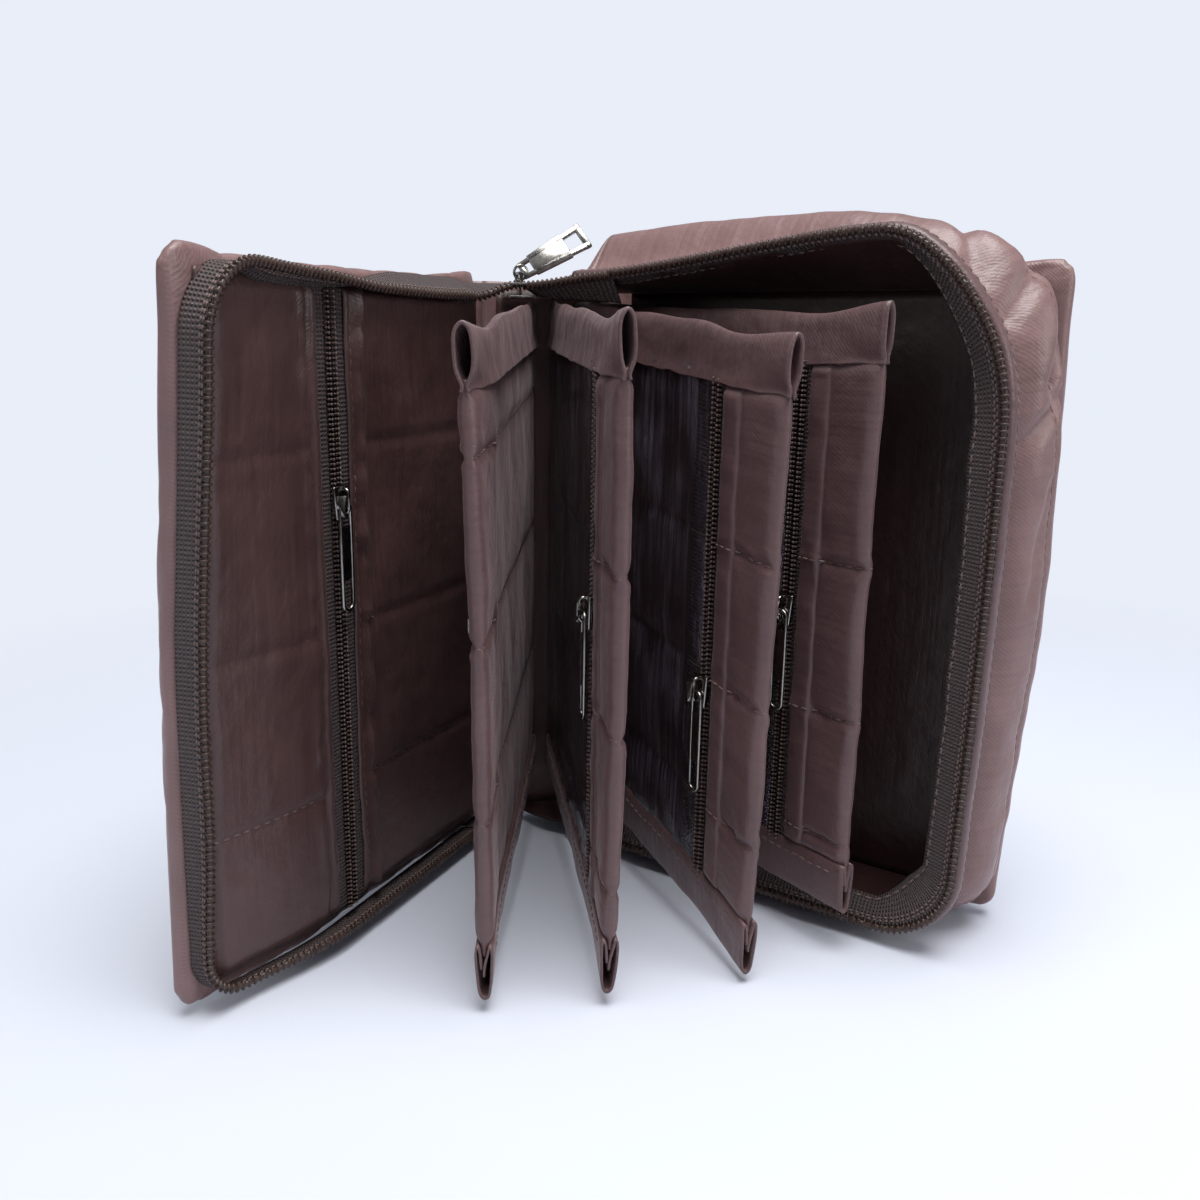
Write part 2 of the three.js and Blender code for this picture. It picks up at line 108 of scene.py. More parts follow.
def node_box(body, node):
    """Lowest and highest corner of a CAD node in its body's own frame."""
    back = PLACES[body].inverted()
    points = [back @ v.co for v in frame["nodes"][node].data.vertices]
    return tuple(Vector([pick(p[i] for p in points) for i in range(3)]) for pick in (min, max))


# Sizes that the frame gives, in millimetres
COVER_WIDTH, COVER_HALF, COVER_HEIGHT = node_box("back_half", "back_cover_outer")[1]
GUSSET_LOW, GUSSET_HIGH = node_box("back_half", "gusset_band")
RIM_INSET = COVER_WIDTH - GUSSET_HIGH.x
GUSSET_START, GUSSET_NEAR, GUSSET_FAR = GUSSET_LOW.x, -GUSSET_HIGH.y, -GUSSET_LOW.y
GUSSET_DEPTH = GUSSET_FAR - GUSSET_NEAR
BACK_LINING = node_box("back_half", "back_lining")
BACK_ROW_LOW = node_box("back_half", "main_zip_back")[0]
ZIP_START, ROW_END = BACK_ROW_LOW.x, -BACK_ROW_LOW.y
FRONT_ROW_END = node_box("front_half", "main_zip_front")[1].y
FRONT_POCKET = node_box("front_half", "front_pocket_sheet")
SPINE_LOW, SPINE_HIGH = node_box("spine", "spine_outer")
SPINE_LINING = node_box("spine", "spine_lining")
FRONT_FOLD = (PLACES["spine"].inverted() @ Vector(JOINTS["cover_fold"]["pos_m"])).y
LEAF_LOW, LEAF_HIGH = node_box("leaf_1", "leaf_1_back")
LEAF_BOTTOM, LEAF_TOP = LEAF_LOW.z, LEAF_HIGH.z
BAND_LOW, BAND_HIGH = node_box("leaf_1", "leaf_1_edge_band")
BAND_START, LEAF_LENGTH = BAND_LOW.x, BAND_HIGH.x
SLEEVE_START = node_box("leaf_1", "leaf_1_top_sleeve")[0].x
FILM_FACE = node_box("leaf_1", "leaf_1_window")[0].y
LEAF_ZIP = pivot_of("leaf_1", "leaf_1").x
COVER_ZIP = pivot_of("front", "front_half").x
FRONT_TAPE_FACE = node_box("front_half", "front_lining_inner")[1].y

# Cloth and thread
CLOTH = 0.45
STITCH_LENGTH = 2.3
STITCH_PITCH = 3.1
THREAD_RADIUS = 0.32
SEAMS = {  # heights of the seams across the front lining and across each leaf
    "front": (45, 91, 141), 1: (64, 108, 152), 2: (44, 83, 122), 3: (52, 89, 126), 4: (37, 73, 115),
}


def mix(a, b, share):
    return a + (b - a) * share


def unit(share):
    """The nearest share from 0 to 1."""
    return min(max(share, 0), 1)


def ease(share):
    share = unit(share)
    return share * share * (3 - 2 * share)


def arch(share):
    """0 at both ends and 1 in the middle."""
    return math.sin(math.pi * share)


def near(distance, width):
    """1 on a line, falling to 0 at about two widths from it."""
    return math.exp(-((distance / width) ** 2))


def rumple(a, b, size, seed):
    """Soft random swell from -1 to 1, the same each run."""
    return noise.noise(Vector((a / size, b / size, seed * 7.31)))


def through(points):
    """A smooth line through the points, numbers or vectors, from 0 to 1."""
    last = len(points) - 1

    def at(share):
        place = unit(share) * last
        i = min(int(place), last - 1)
        t = place - i
        a, b, c, d = (points[min(max(k, 0), last)] for k in range(i - 1, i + 3))
        return 0.5 * (2 * b + (c - a) * t + (2 * a - 5 * b + 4 * c - d) * t**2 + (3 * b - a - 3 * c + d) * t**3)

    return at


def path(*points):
    return through([Vector(p) for p in points])


def crease(start, end, width):
    """How near a point of a sheet is to a straight crease, from 0 to 1."""
    start, end = Vector(start), Vector(end)
    run = end - start

    def at(point):
        share = unit((point - start).dot(run) / run.length_squared)
        return near((point - start - run * share).length, width)

    return at


def tuck(z, seams, width=1.2):
    """How far the nearest seam pulls the cloth in at this height, from 0 to 1."""
    return max(near(z - seam, width) for seam in seams)


def swell(z, low, high, seams):
    """How far the cloth stands out between two seams, from 0 to 1."""
    stops = [low, *seams, high]
    i = min(max(bisect.bisect(stops, z), 1), len(stops) - 1)
    return arch(unit((z - stops[i - 1]) / (stops[i] - stops[i - 1])))


# Mesh tools


def loft(place, columns, rows, flat):
    """A sheet from a grid: place(u, v) puts each corner, and flat is the cut size in millimetres."""
    bm = bmesh.new()
    bmesh.ops.create_grid(bm, x_segments=columns, y_segments=rows, size=0.5)
    lay = bm.verts.layers.float_vector.new("cloth")
    for vert in bm.verts:
        u, v = vert.co.x + 0.5, vert.co.y + 0.5
        vert[lay] = (u * flat[0], v * flat[1], 0)
        vert.co = place(u, v)
    return bm


def mesh_of(name, bm):
    mesh = bpy.data.meshes.new(name)
    bm.to_mesh(mesh)
    bm.free()
    return mesh


def put(name, data):
    thing = bpy.data.objects.new(name, data)
    bpy.context.scene.collection.objects.link(thing)
    return thing


def smooth_thing(name, bm, finish):
    mesh = mesh_of(name, bm)
    mesh.shade_smooth()
    mesh.materials.append(finish)
    return put(name, mesh)


def add_piece(name, bm, body, finish, slot, nodes=(), thickness=0, rides=True):
    """Puts a mesh in its body's place as a piece that stands for these CAD nodes."""
    bmesh.ops.transform(bm, matrix=PLACES[body], verts=bm.verts)
    piece = smooth_thing(name, bm, finish)
    if thickness:
        shell = piece.modifiers.new("thickness", "SOLIDIFY")
        shell.thickness = thickness * MM
        shell.offset = 0
    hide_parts(*nodes)
    if rides:
        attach(piece, body)
    return piece


def add_bent(name, bm, body, finish, slot, bends, nodes=(), thickness=CLOTH):
    """A piece put in its body's place and then fixed in the world, so that it does not follow the body when it turns;
    bends has two bodies, each with a point in its frame, which are worked out but not used."""
    piece = add_piece(name, bm, body, finish, slot, nodes, thickness, False)
    (a, start), (b, end) = bends
    PLACES[a] @ Vector(start)
    PLACES[b] @ Vector(end)
    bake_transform(piece)
    return piece


def cut_size(flat):
    """A cut size in metres, with no side under a centimetre."""
    return tuple(max(side, 10) * MM for side in flat)


def add_sheet(name, place, grid, flat, body, finish, slot, node, thickness=CLOTH):
    """A piece of cloth that is lofted from its cut size."""
    piece = add_piece(name, loft(place, *grid, flat), body, finish, slot, (node,), thickness)
    cut_size(flat)


def apply_modifiers(piece):
    shaped = bpy.data.meshes.new_from_object(piece.evaluated_get(bpy.context.evaluated_depsgraph_get()))
    piece.modifiers.clear()
    piece.data = shaped
    shaped.name = piece.name


def frame_at(point, along, out):
    """A frame with X along a line and Z out of the surface."""
    along = along.normalized()
    side = out.cross(along).normalized()
    axes = Matrix((along, side, along.cross(side))).transposed()
    return Matrix.Translation(point) @ axes.to_4x4()


def bead():
    """A small round shape that stitches and teeth are stretched from."""
    bm = bmesh.new()
    bmesh.ops.create_uvsphere(bm, u_segments=8, v_segments=5, radius=1)
    return mesh_of("bead", bm)


BEAD = bead()


def stamp(bm, shape, matrix):
    first = len(bm.verts)
    bm.from_mesh(shape)
    bm.verts.ensure_lookup_table()
    bmesh.ops.transform(bm, matrix=matrix, verts=bm.verts[first:])


def string(bm, line, pitch, length, half_sizes, steps=400):
    """Beads along a line of (point, outward) pairs, pitch apart, length long and with these half sizes
    across the line and out of the surface."""
    marks = [line(i / steps) for i in range(steps + 1)]
    run = [0.0]
    for (a, _), (b, _) in zip(marks, marks[1:]):
        run.append(run[-1] + (b - a).length)

    def at(distance):
        i = min(max(bisect.bisect(run, distance), 1), steps)
        share = (distance - run[i - 1]) / max(run[i] - run[i - 1], 1e-9)
        return mix(marks[i - 1][0], marks[i][0], share), marks[i][1]

    for k in range(int((run[-1] - length) / pitch) + 1):
        (a, out), (b, _) = at(k * pitch), at(k * pitch + length)
        stamp(bm, BEAD, frame_at((a + b) / 2, b - a, out) @ Matrix.Diagonal((length / 2, *half_sizes, 1)))


def sew(bm, line):
    string(bm, line, STITCH_PITCH, STITCH_LENGTH, (THREAD_RADIUS, THREAD_RADIUS))


def on_sheet(place, track, lift):
    """A line on a lofted sheet: track(t) gives u and v, and lift is its height over the sheet, minus for the
    other face."""
    step = 1e-3

    def line(t):
        u, v = track(t)
        point = place(u, v)
        out = (place(u + step, v) - place(u - step, v)).cross(place(u, v + step) - place(u, v - step)).normalized()
        out = out * math.copysign(1, lift)
        return point + out * abs(lift), out

    return line


def round_off(bm, edges, radius, segments):
    bmesh.ops.bevel(bm, geom=edges, offset=radius, segments=segments, profile=0.5, affect="EDGES", material=-1)


def block(bm, low, high, edge):
    """A rectangular block with rounded edges."""
    made = bmesh.ops.create_cube(bm, size=1)["verts"]
    low, high = Vector(low), Vector(high)
    bmesh.ops.scale(bm, vec=high - low, verts=made)
    bmesh.ops.translate(bm, vec=(low + high) / 2, verts=made)
    round_off(bm, list({e for v in made for e in v.link_edges}), edge, 2)


def ring(bm, radius, wire, stretch, matrix):
    """A ring of round wire in the X-Z plane, with straight sides of this length along Z."""
    made = bmesh.new()
    section = Matrix.Translation((radius, 0, 0))
    circle = bmesh.ops.create_circle(made, segments=10, radius=wire, matrix=section @ Matrix.Rotation(TAU / 4, 4, "X"))
    hoop = circle["verts"] + list(made.edges)
    bmesh.ops.rotate(made, cent=(radius, 0, 0), matrix=Matrix.Rotation(TAU / 4, 3, "X"), verts=circle["verts"])
    bmesh.ops.spin(made, geom=hoop, cent=(0, 0, 0), axis=(0, 1, 0), angle=TAU, steps=30, use_merge=True)
    for vert in made.verts:
        vert.co.z += math.copysign(stretch / 2, vert.co.z) if abs(vert.co.z) > wire / 2 else 0
    bmesh.ops.recalc_face_normals(made, faces=made.faces)
    mesh = mesh_of("ring", made)
    stamp(bm, mesh, matrix)
    bpy.data.meshes.remove(mesh)


# Shaders


class Wire:
    """A shader socket whose value can be used in sums."""

    def __init__(self, graph, socket):
        self.graph, self.socket = graph, socket

    def math(self, operation, *others):
        return self.graph.node("ShaderNodeMath", {"operation": operation}, dict(enumerate([self, *others])))

    def __add__(self, other):
        return self.math("ADD", other)

    def __mul__(self, other):
        return self.math("MULTIPLY", other)

    def __sub__(self, other):
        return self.math("SUBTRACT", other)

    def __rsub__(self, other):
        return self.graph.node("ShaderNodeMath", {"operation": "SUBTRACT"}, {0: other, 1: self})

    __radd__ = __add__
    __rmul__ = __mul__


class Graph:
    """A material, or the world, under construction."""

    def __init__(self, name, store=bpy.data.materials, end="ShaderNodeOutputMaterial"):
        self.made, self.end = store.new(name), end
        self.made.use_nodes = True
        self.tree = self.made.node_tree
        self.tree.nodes.clear()

    def node(self, kind, settings=None, inputs=None, output=0):
        made = self.tree.nodes.new(kind)
        for key, value in (settings or {}).items():
            setattr(made, key, value)
        for key, value in (inputs or {}).items():
            if isinstance(value, Wire):
                self.tree.links.new(value.socket, made.inputs[key])
            else:
                made.inputs[key].default_value = value
        return Wire(self, made.outputs[output])

    def cloth(self, scale=(1, 1, 1)):
        """Place on the cut cloth in millimetres, times a scale."""
        lay = self.node("ShaderNodeAttribute", {"attribute_name": "cloth"}, output="Vector")
        return self.node("ShaderNodeVectorMath", {"operation": "MULTIPLY"}, {0: lay, 1: scale})

    def place(self):
        return self.node("ShaderNodeTexCoord", output="Object")

    def seen(self):
        """1 to the camera, 0 to the light."""
        return self.node("ShaderNodeLightPath", output="Is Camera Ray")

    def part(self, vector, axis):
        return self.node("ShaderNodeSeparateXYZ", None, {0: vector}, axis)

    def noise(self, vector, scale, detail=2):
        return self.node("ShaderNodeTexNoise", None, {"Vector": vector, "Scale": scale, "Detail": detail})

    def clamp(self, value):
        return self.node("ShaderNodeClamp", None, {0: value})

    def blend(self, share, a, b):
        return self.node("ShaderNodeMix", {"data_type": "RGBA"}, {0: share, 6: (*a, 1), 7: (*b, 1)}, 2)

    def relief(self, height, depth, strength=1):
        return self.node("ShaderNodeBump", None, {"Height": height, "Distance": depth, "Strength": strength})

    def surface(self, **inputs):
        """A shader from its inputs; socket names have _ for spaces."""
        named = {key.replace("_", " "): value for key, value in inputs.items()}
        return self.node("ShaderNodeBsdfPrincipled", None, named)

    def finish(self, shader):
        end = self.tree.nodes.new(self.end)
        self.tree.links.new(shader.socket, end.inputs["Surface"])
        return self.made


def linear(red, green, blue):
    """A screen colour of 0 to 255 as the shader's linear one."""
    return tuple(((c / 255 + 0.055) / 1.055) ** 2.4 for c in (red, green, blue))


TWILL_PITCH = 1.1
TAPE_RIB, TAPE_ROW = 1.15, 1.3
SHEEN = linear(226, 206, 208)
PAPER_NEAR, PAPER_FAR = 0.16, 0.5  # metres from the object over which the paper grows even
SKY = 0.05, 0.5  # strength of the room's light from the sides and from straight above
SKY_SEEN = 0.8  # how much paler the room is to the camera, where it shows beyond the paper


def satin(name, light, dark, roughness, sheen):
    """Satin with a fine slanting twill, soft streaks along its warp and a slightly uneven dye."""
    graph = Graph(name)
    cloth = graph.cloth()
    slant = graph.part(cloth, 0) + graph.part(cloth, 1)
    twill = (slant * (TAU / TWILL_PITCH)).math("SINE")
    streaks = graph.noise(graph.cloth((0.7, 0.03, 1)), 1, 3)
    clouds = graph.noise(graph.place(), 45, 3)
    tone = twill * 0.12 + streaks * 0.7 + clouds * 0.9 - 0.3
    crumple = graph.noise(graph.place(), 140, 4)
    height = twill * 0.035 + streaks * 0.5 + crumple * 2.4
    return graph.finish(graph.surface(
        Base_Color=graph.blend(graph.clamp(tone), dark, light),
        Roughness=streaks * 0.2 + (roughness - 0.1),
        Normal=graph.relief(height, 0.00035, 0.8),
        Specular_IOR_Level=0.5,
        Sheen_Weight=sheen,
        Sheen_Roughness=0.35,
        Sheen_Tint=(*SHEEN, 1),
    ))


def woven_tape(name, light, dark):
    """Zip tape: short ribs across it in rows, as knitted tape has."""
    graph = Graph(name)
    cloth = graph.cloth()
    rib = (graph.part(cloth, 0) * (TAU / TAPE_RIB)).math("SINE")
    row = (graph.part(cloth, 1) * (TAU / TAPE_ROW)).math("SINE")
    knit = rib * row * 0.4 + rib * 0.45 + 0.5
    fuzz = graph.noise(graph.place(), 900, 2)
    return graph.finish(graph.surface(
        Base_Color=graph.blend(graph.clamp(knit * 0.75 + fuzz * 0.3), dark, light),
        Roughness=0.85 - knit * 0.3,
        Normal=graph.relief(knit + fuzz * 0.4, 0.0004, 1.0),
    ))


def moulded(name, light, dark, roughness):
    """Nylon of the coils, with a slightly uneven colour."""
    graph = Graph(name)
    tint = graph.noise(graph.place(), 700, 2)
    return graph.finish(graph.surface(Base_Color=graph.blend(tint, dark, light), Roughness=tint * 0.15 + roughness))


def twisted_thread(name, light, dark):
    graph = Graph(name)
    twist = graph.noise(graph.place(), 2500, 2)
    return graph.finish(graph.surface(Base_Color=graph.blend(twist, dark, light), Roughness=0.45 + twist * 0.2))


def clear_film(name):
    """Clear vinyl, waved, with pale rubbed streaks that are partly real haze and partly painted highlight."""
    graph = Graph(name)
    waves = graph.noise(graph.cloth((0.16, 0.05, 1)), 1, 2)
    streaks = graph.noise(graph.cloth((0.9, 0.02, 1)), 1, 4)
    smears = graph.noise(graph.cloth((0.09, 0.05, 1)), 1, 3)
    # Pale streaks in the film's colour and opacity: partly the rubbed haze it has, partly painted highlight.
    haze_and_painted_highlight = graph.clamp((streaks * smears - 0.19) * 5.0)
    return graph.finish(graph.surface(
        Base_Color=graph.blend(haze_and_painted_highlight, linear(38, 32, 40), linear(108, 100, 112)),
        Roughness=haze_and_painted_highlight * 0.3 + 0.04,
        Normal=graph.relief(waves, 0.004, 0.6),
        Alpha=haze_and_painted_highlight * 0.4 + 0.3,
        Coat_Weight=1.0,
        Coat_Roughness=0.06,
    ))


def plated(name, light, dark):
    """Polished nickel, a little rubbed."""
    graph = Graph(name)
    rubbed = graph.noise(graph.place(), 420, 4)
    return graph.finish(graph.surface(
        Base_Color=graph.blend(rubbed, dark, light), Metallic=1.0, Roughness=rubbed * 0.22 + 0.1
    ))


def paper(name, lit, far):
    """Pale paper that takes the object's shadow, and that is one even tone to the camera further off."""
    graph = Graph(name)
    away = graph.node("ShaderNodeVectorMath", {"operation": "LENGTH"}, {0: graph.place()}, "Value")
    even = graph.node("ShaderNodeEmission", None, {"Color": (*far, 1)})
    share = graph.clamp((away - PAPER_NEAR) * (1 / (PAPER_FAR - PAPER_NEAR))) * graph.seen()
    return graph.finish(graph.node(
        "ShaderNodeMixShader", None, {0: share, 1: graph.surface(Base_Color=(*lit, 1), Roughness=0.9), 2: even}
    ))


def room(name, tint):
    """Soft light from all round, most of it from above, that looks pale to the camera."""
    graph = Graph(name, bpy.data.worlds, "ShaderNodeOutputWorld")
    height = graph.part(graph.node("ShaderNodeTexCoord", output="Generated"), "Z")
    light = graph.node("ShaderNodeMapRange", None, {"Value": height, "To Min": SKY[0], "To Max": SKY[1]})
    strength = graph.seen() * SKY_SEEN + light
    return graph.finish(graph.node("ShaderNodeBackground", None, {"Color": (*tint, 1), "Strength": strength}))


SATIN = satin("mauve_satin", linear(138, 108, 106), linear(104, 79, 77), 0.42, 0.2)
LINING = satin("brown_lining", linear(88, 62, 60), linear(58, 39, 37), 0.42, 0.08)
# A darker copy of the brown lining: painted shade for the linings deep inside the back half and the bottom web.
SHADED_LINING = satin("shaded_lining", linear(58, 35, 33), linear(38, 22, 20), 0.45, 0.04)
# A darker copy of the satin: painted shade on the leaves inside the pouch, and on the rim's binding.
SHADED_SATIN = satin("shaded_satin", linear(106, 80, 80), linear(75, 55, 55), 0.42, 0.16)
TAPE = woven_tape("dark_zip_tape", linear(90, 76, 75), linear(36, 29, 29))
COIL = moulded("brown_coil", linear(70, 49, 41), linear(38, 25, 21), 0.3)
THREAD = twisted_thread("sewing_thread", linear(128, 102, 100), linear(84, 64, 62))
ZIP_CORD = twisted_thread("zip_cord", linear(132, 112, 106), linear(70, 55, 51))
FILM = clear_film("clear_vinyl")
NICKEL = plated("polished_nickel", linear(172, 169, 164), linear(112, 109, 105))


# Padded covers

VOXEL = 2.2
PLUMP = 1.5  # how much slimmer a cover is before it is filled
COVER_CORNER = 7  # radius at the free edge
FOLD_CORNER = 2.5
BACK_CORNER_RISE = 3.5  # how far the back cover's free top corner is pulled up
COVER_EDGE = 1.2
FILL_CAP = 2.6
FILL_FRAMES = 20


def fill(piece):
    """Blows a closed cloth form up into a pad, moving no point further than the cap."""
    scene = bpy.context.scene
    rest = [v.co.copy() for v in piece.data.vertices]
    padding = piece.modifiers.new("padding", "CLOTH")
    padding.settings.use_pressure = True
    padding.settings.uniform_pressure_force = 4
    padding.settings.effector_weights.gravity = 0
    padding.point_cache.frame_start = 1
    padding.point_cache.frame_end = FILL_FRAMES
    for step in range(1, FILL_FRAMES + 1):
        scene.frame_set(step)
    apply_modifiers(piece)
    scene.frame_set(1)
    for vert, was in zip(piece.data.vertices, rest):
        move = vert.co - was
        if move.length > FILL_CAP * MM:
            vert.co = was + move.normalized() * FILL_CAP * MM


def padded_cover(name, body, inward):
    """A cover filled between its skins; `inward` is the side along Y that its lining lies flat on."""
    low, high = node_box(body, f"{name}_outer")
    size = high - low - Vector((0, PLUMP, 0))
    bm = bmesh.new()
    bmesh.ops.create_cube(bm, size=1)
    bmesh.ops.scale(bm, vec=size, verts=bm.verts)
    bmesh.ops.translate(bm, vec=(low + high) / 2, verts=bm.verts)
    for radius, free in ((COVER_CORNER, True), (FOLD_CORNER, False)):
        corners = [
            e for e in bm.edges
            if abs(e.verts[0].co.y - e.verts[1].co.y) > 1 and (e.verts[0].co.x > COVER_WIDTH / 2) == free
            and min(abs(e.verts[0].co.z - edge) for edge in (low.z, high.z)) < 1e-3
        ]
        round_off(bm, corners, radius, 6)
    round_off(bm, [e for e in bm.edges if abs(e.verts[0].co.y - e.verts[1].co.y) < 1e-3], COVER_EDGE, 3)
    piece = add_piece(name, bm, body, SATIN, "satin", (f"{name}_outer", f"{name}_foam"))
    remesh = piece.modifiers.new("even_mesh", "REMESH")
    remesh.mode = "VOXEL"
    remesh.voxel_size = VOXEL * MM
    apply_modifiers(piece)
    fill(piece)
    place, back = PLACES[body], PLACES[body].inverted()
    lay = piece.data.attributes.new("cloth", "FLOAT_VECTOR", "POINT")
    for vert, mark in zip(piece.data.vertices, lay.data):
        point = back @ vert.co
        mark.vector = (point.x, point.z + point.y, 0)
        if point.y * inward > COVER_HALF:
            point.y = inward * COVER_HALF
        edge = min(point.x - low.x, high.x - point.x, point.z - low.z, high.z - point.z)
        point.y -= inward * 0.5 * rumple(point.x, point.z, 22, 1) * ease(edge / 8) * (point.y * inward < 0)
        outline = 0.7 * rumple(point.x + point.z, point.y, 17, 2) * (1 - ease(edge / 6))
        point.x += outline * (point.x > COVER_WIDTH / 2)
        point.z += outline * ease((point.z - COVER_HEIGHT / 2) / 60)
        if inward > 0:
            point.y += front_bow(point.x, point.z)
        else:
            point.z += BACK_CORNER_RISE * ease((point.x - 30) / 110) * ease((point.z - 110) / 80)
            point.x += side_bow(point.x, point.z, 0)
        vert.co = place @ point
    piece.data.shade_smooth()
    fuller = piece.modifiers.new("fuller", "SUBSURF")
    fuller.levels = fuller.render_levels = 1
    return piece


# Rim round the three open sides

CORNERS_AT_COVER = (15, 13)  # radii at the top and the bottom of the free edge
CORNERS_AT_RIM = (36, 21)
FRONT_CORNERS = (16, 11)


@functools.lru_cache(maxsize=None)
def rim(inset, corners, start):
    """Line at this inset from the cover's edges, from `start` on the top run round to the bottom run, as a
    function of 0 to 1 that gives a point and the way out, both in X and Z."""
    right, low, high = COVER_WIDTH - inset, inset, COVER_HEIGHT - inset
    top, bottom = corners
    quarter = TAU / 4
    lengths = (
        right - top - start, top * quarter, high - low - top - bottom, bottom * quarter, right - bottom - start
    )
    total = sum(lengths)

    def at(share):
        run, leg = share * total, 0
        while leg < len(lengths) - 1 and run > lengths[leg]:
            run -= lengths[leg]
            leg += 1
        if leg == 0:
            return Vector((start + run, 0, high)), Vector((0, 0, 1))
        if leg == 2:
            return Vector((right, 0, high - top - run)), Vector((1, 0, 0))
        if leg == 4:
            return Vector((right - bottom - run, 0, low)), Vector((0, 0, -1))
        radius, middle_z = (top, high - top) if leg == 1 else (bottom, low + bottom)
        angle = quarter - run / top if leg == 1 else -run / bottom
        out = Vector((math.cos(angle), 0, math.sin(angle)))
        return Vector((right - radius, 0, middle_z)) + radius * out, out

    return at


RIM_LENGTH = 2 * COVER_WIDTH + COVER_HEIGHT - 60  # three sides, less the fold ends and the corners
GUSSET_SECTION = through([-1.2, 2.6, 3.7, 3.5, 2.6, 0.8, -1.4, -2.2, -1.4, 0.2])  # from the cover to the rim
SIDE_SECTION = through([-1.2, 2.2, 3.0, 3.2, 3.0, 2.4, 0.8, -3.0, -9.0, 0.2])  # on the free side
TOP_BELLY = through([0, 0.75, 1, 0.95, 0.75, 0.45, 0.2, 0])
TOP_SWELL = through([11, 12, 13, 13, 12, 11, 8.5, 5.5, 3])  # how far the slack top bulges, from fold to free end
TOPSTITCH = 0.27  # share of the gusset's depth
GUSSET_SLACK = 1.25  # of its cut depth
BINDING_WIDTH = 10
CREASES = (  # millimetres along the rim and down the gusset
    (crease((100, 6), (116, 20), 2.2), 2.2),
    (crease((117, 3), (126, 18), 2.2), 2.6),
    (crease((127, 1), (141, 8), 3.4), 4.6),
    (crease((146, 4), (154, 19), 2.4), 2.2),
    (crease((168, 9), (196, 13), 1.8), 0.9),
    (crease((282, 5), (294, 21), 2.6), 2.6),
    (crease((300, 2), (306, 17), 2.4), 2.4),
    (crease((314, 6), (322, 18), 2.6), 1.8),
)
COVER_BOW = through([1, 3.6, 6.2, 7.6, 7.6, 6.2, 4.4])  # of the back cover's free side, from its foot to its top
RIM_BOW = through([0, 0.6, 1.4, 2.0, 2.2, 1.9, 1.4])


def side_bow(x, z, share):
    """How far the back half's free side is bowed out, at this share of the way from the cover to the rim."""
    return mix(COVER_BOW(z / COVER_HEIGHT), RIM_BOW(z / COVER_HEIGHT), share) * ease((x - 60) / (COVER_WIDTH - 60))


def rim_rise(x):
    """How far the rim's slack top run stands up, at this distance from the fold."""
    return 2 + 11 * ease(x / 112) - 4 * ease((x - 105) / 30)


def back_rim(u, inset, corners, start, pulled):
    """The back half's rim line, whose top run is pulled up by a share."""
    point, out = rim(inset, corners, start)(u)
    point.x += side_bow(point.x, point.z, pulled)
    point.z += max(out.z, 0) * rim_rise(point.x) * pulled
    return point, out


def corners_at(v):
    return tuple(mix(a, b, ease(v)) for a, b in zip(CORNERS_AT_COVER, CORNERS_AT_RIM))


def gusset_place(u, v):
    """The slack, creased band from the back cover to the rim."""
    point, out = back_rim(u, RIM_INSET, corners_at(v), GUSSET_START, v)
    spot = Vector((u * RIM_LENGTH, v * GUSSET_DEPTH))
    folds = 0.9 * rumple(spot.x, spot.y, 21, 4) + 0.5 * rumple(spot.x, spot.y, 8, 3)
    folds -= sum(depth * line(spot) for line, depth in CREASES)
    stand = mix(GUSSET_SECTION(v) * mix(1, 0.6, max(-out.z, 0)), SIDE_SECTION(v), max(out.x, 0) ** 2)
    stand -= 0.7 * near(v - TOPSTITCH, 0.03)
    rise = max(out.z, 0) * TOP_SWELL(point.x / COVER_WIDTH) * TOP_BELLY(v)
    settled = arch(unit(v)) ** 0.5
    return point + out * (stand + folds * settled) + Vector((0, -mix(GUSSET_NEAR - 0.4, GUSSET_FAR, v), rise))


BINDING_SECTION = path((-0.2, -1.6), (0.9, 0.6), (1.2, 2.8), (0.7, 4.8), (-0.4, 5.4), (-1.0, 4.6))


def binding_place(u, v):
    """Satin folded over the gusset's edge, beside the zip."""
    point, out = back_rim(u, RIM_INSET, CORNERS_AT_RIM, GUSSET_START, 1)
    section = BINDING_SECTION(v)
    wave = 0.35 * rumple(u * RIM_LENGTH, 0, 15, 5)
    return point + out * (section.x + wave) + Vector((0, -GUSSET_FAR - section.y, 0))


def flange_place(u, v):
    """The zip tape of the back half, from its coil in to where it is sewn to the lining."""
    point, out = back_rim(u, RIM_INSET + 1.2, CORNERS_AT_RIM, ZIP_START, 1)
    up, side, down = max(out.z, 0), max(out.x, 0), max(-out.z, 0)
    ripple = 0.6 * rumple(u * RIM_LENGTH, v * 6, 14, 6) * v
    inward = (2 * up + 8.5 * side + 6.5 * down) * v + ripple
    deeper = (7 * up + 4 * side + 4.5 * down) * v - ripple
    return point - out * inward + Vector((0, -ROW_END + 1.4 + deeper, 0))


def back_row(t):
    point, _ = back_rim(t, RIM_INSET + 0.6, CORNERS_AT_RIM, ZIP_START, 1)
    return point + Vector((0, -ROW_END + 0.7, 0)), Vector((0, -1, 0))


def back_lining_place(u, v):
    low, high = BACK_LINING
    x, z = mix(low.x, high.x + 3, u), mix(low.z - 3, high.z + 3, v)
    lift = 0.9 * (rumple(x, z, 38, 7) + 1) * arch(u) * arch(v)
    return Vector((x, low.y - lift, z))


def gusset_lining_place(u, v):
    point, out = back_rim(u, RIM_INSET + 2.2, corners_at(v), GUSSET_START, v)
    slack = 0.9 * (1 + rumple(u * RIM_LENGTH, v * 20, 18, 8)) * arch(v)
    slack += 7 * near(v - 0.89, 0.14) * max(out.x, 0) ** 2
    return point - out * slack + Vector((0, -mix(GUSSET_NEAR, GUSSET_FAR + 3, v), 0))


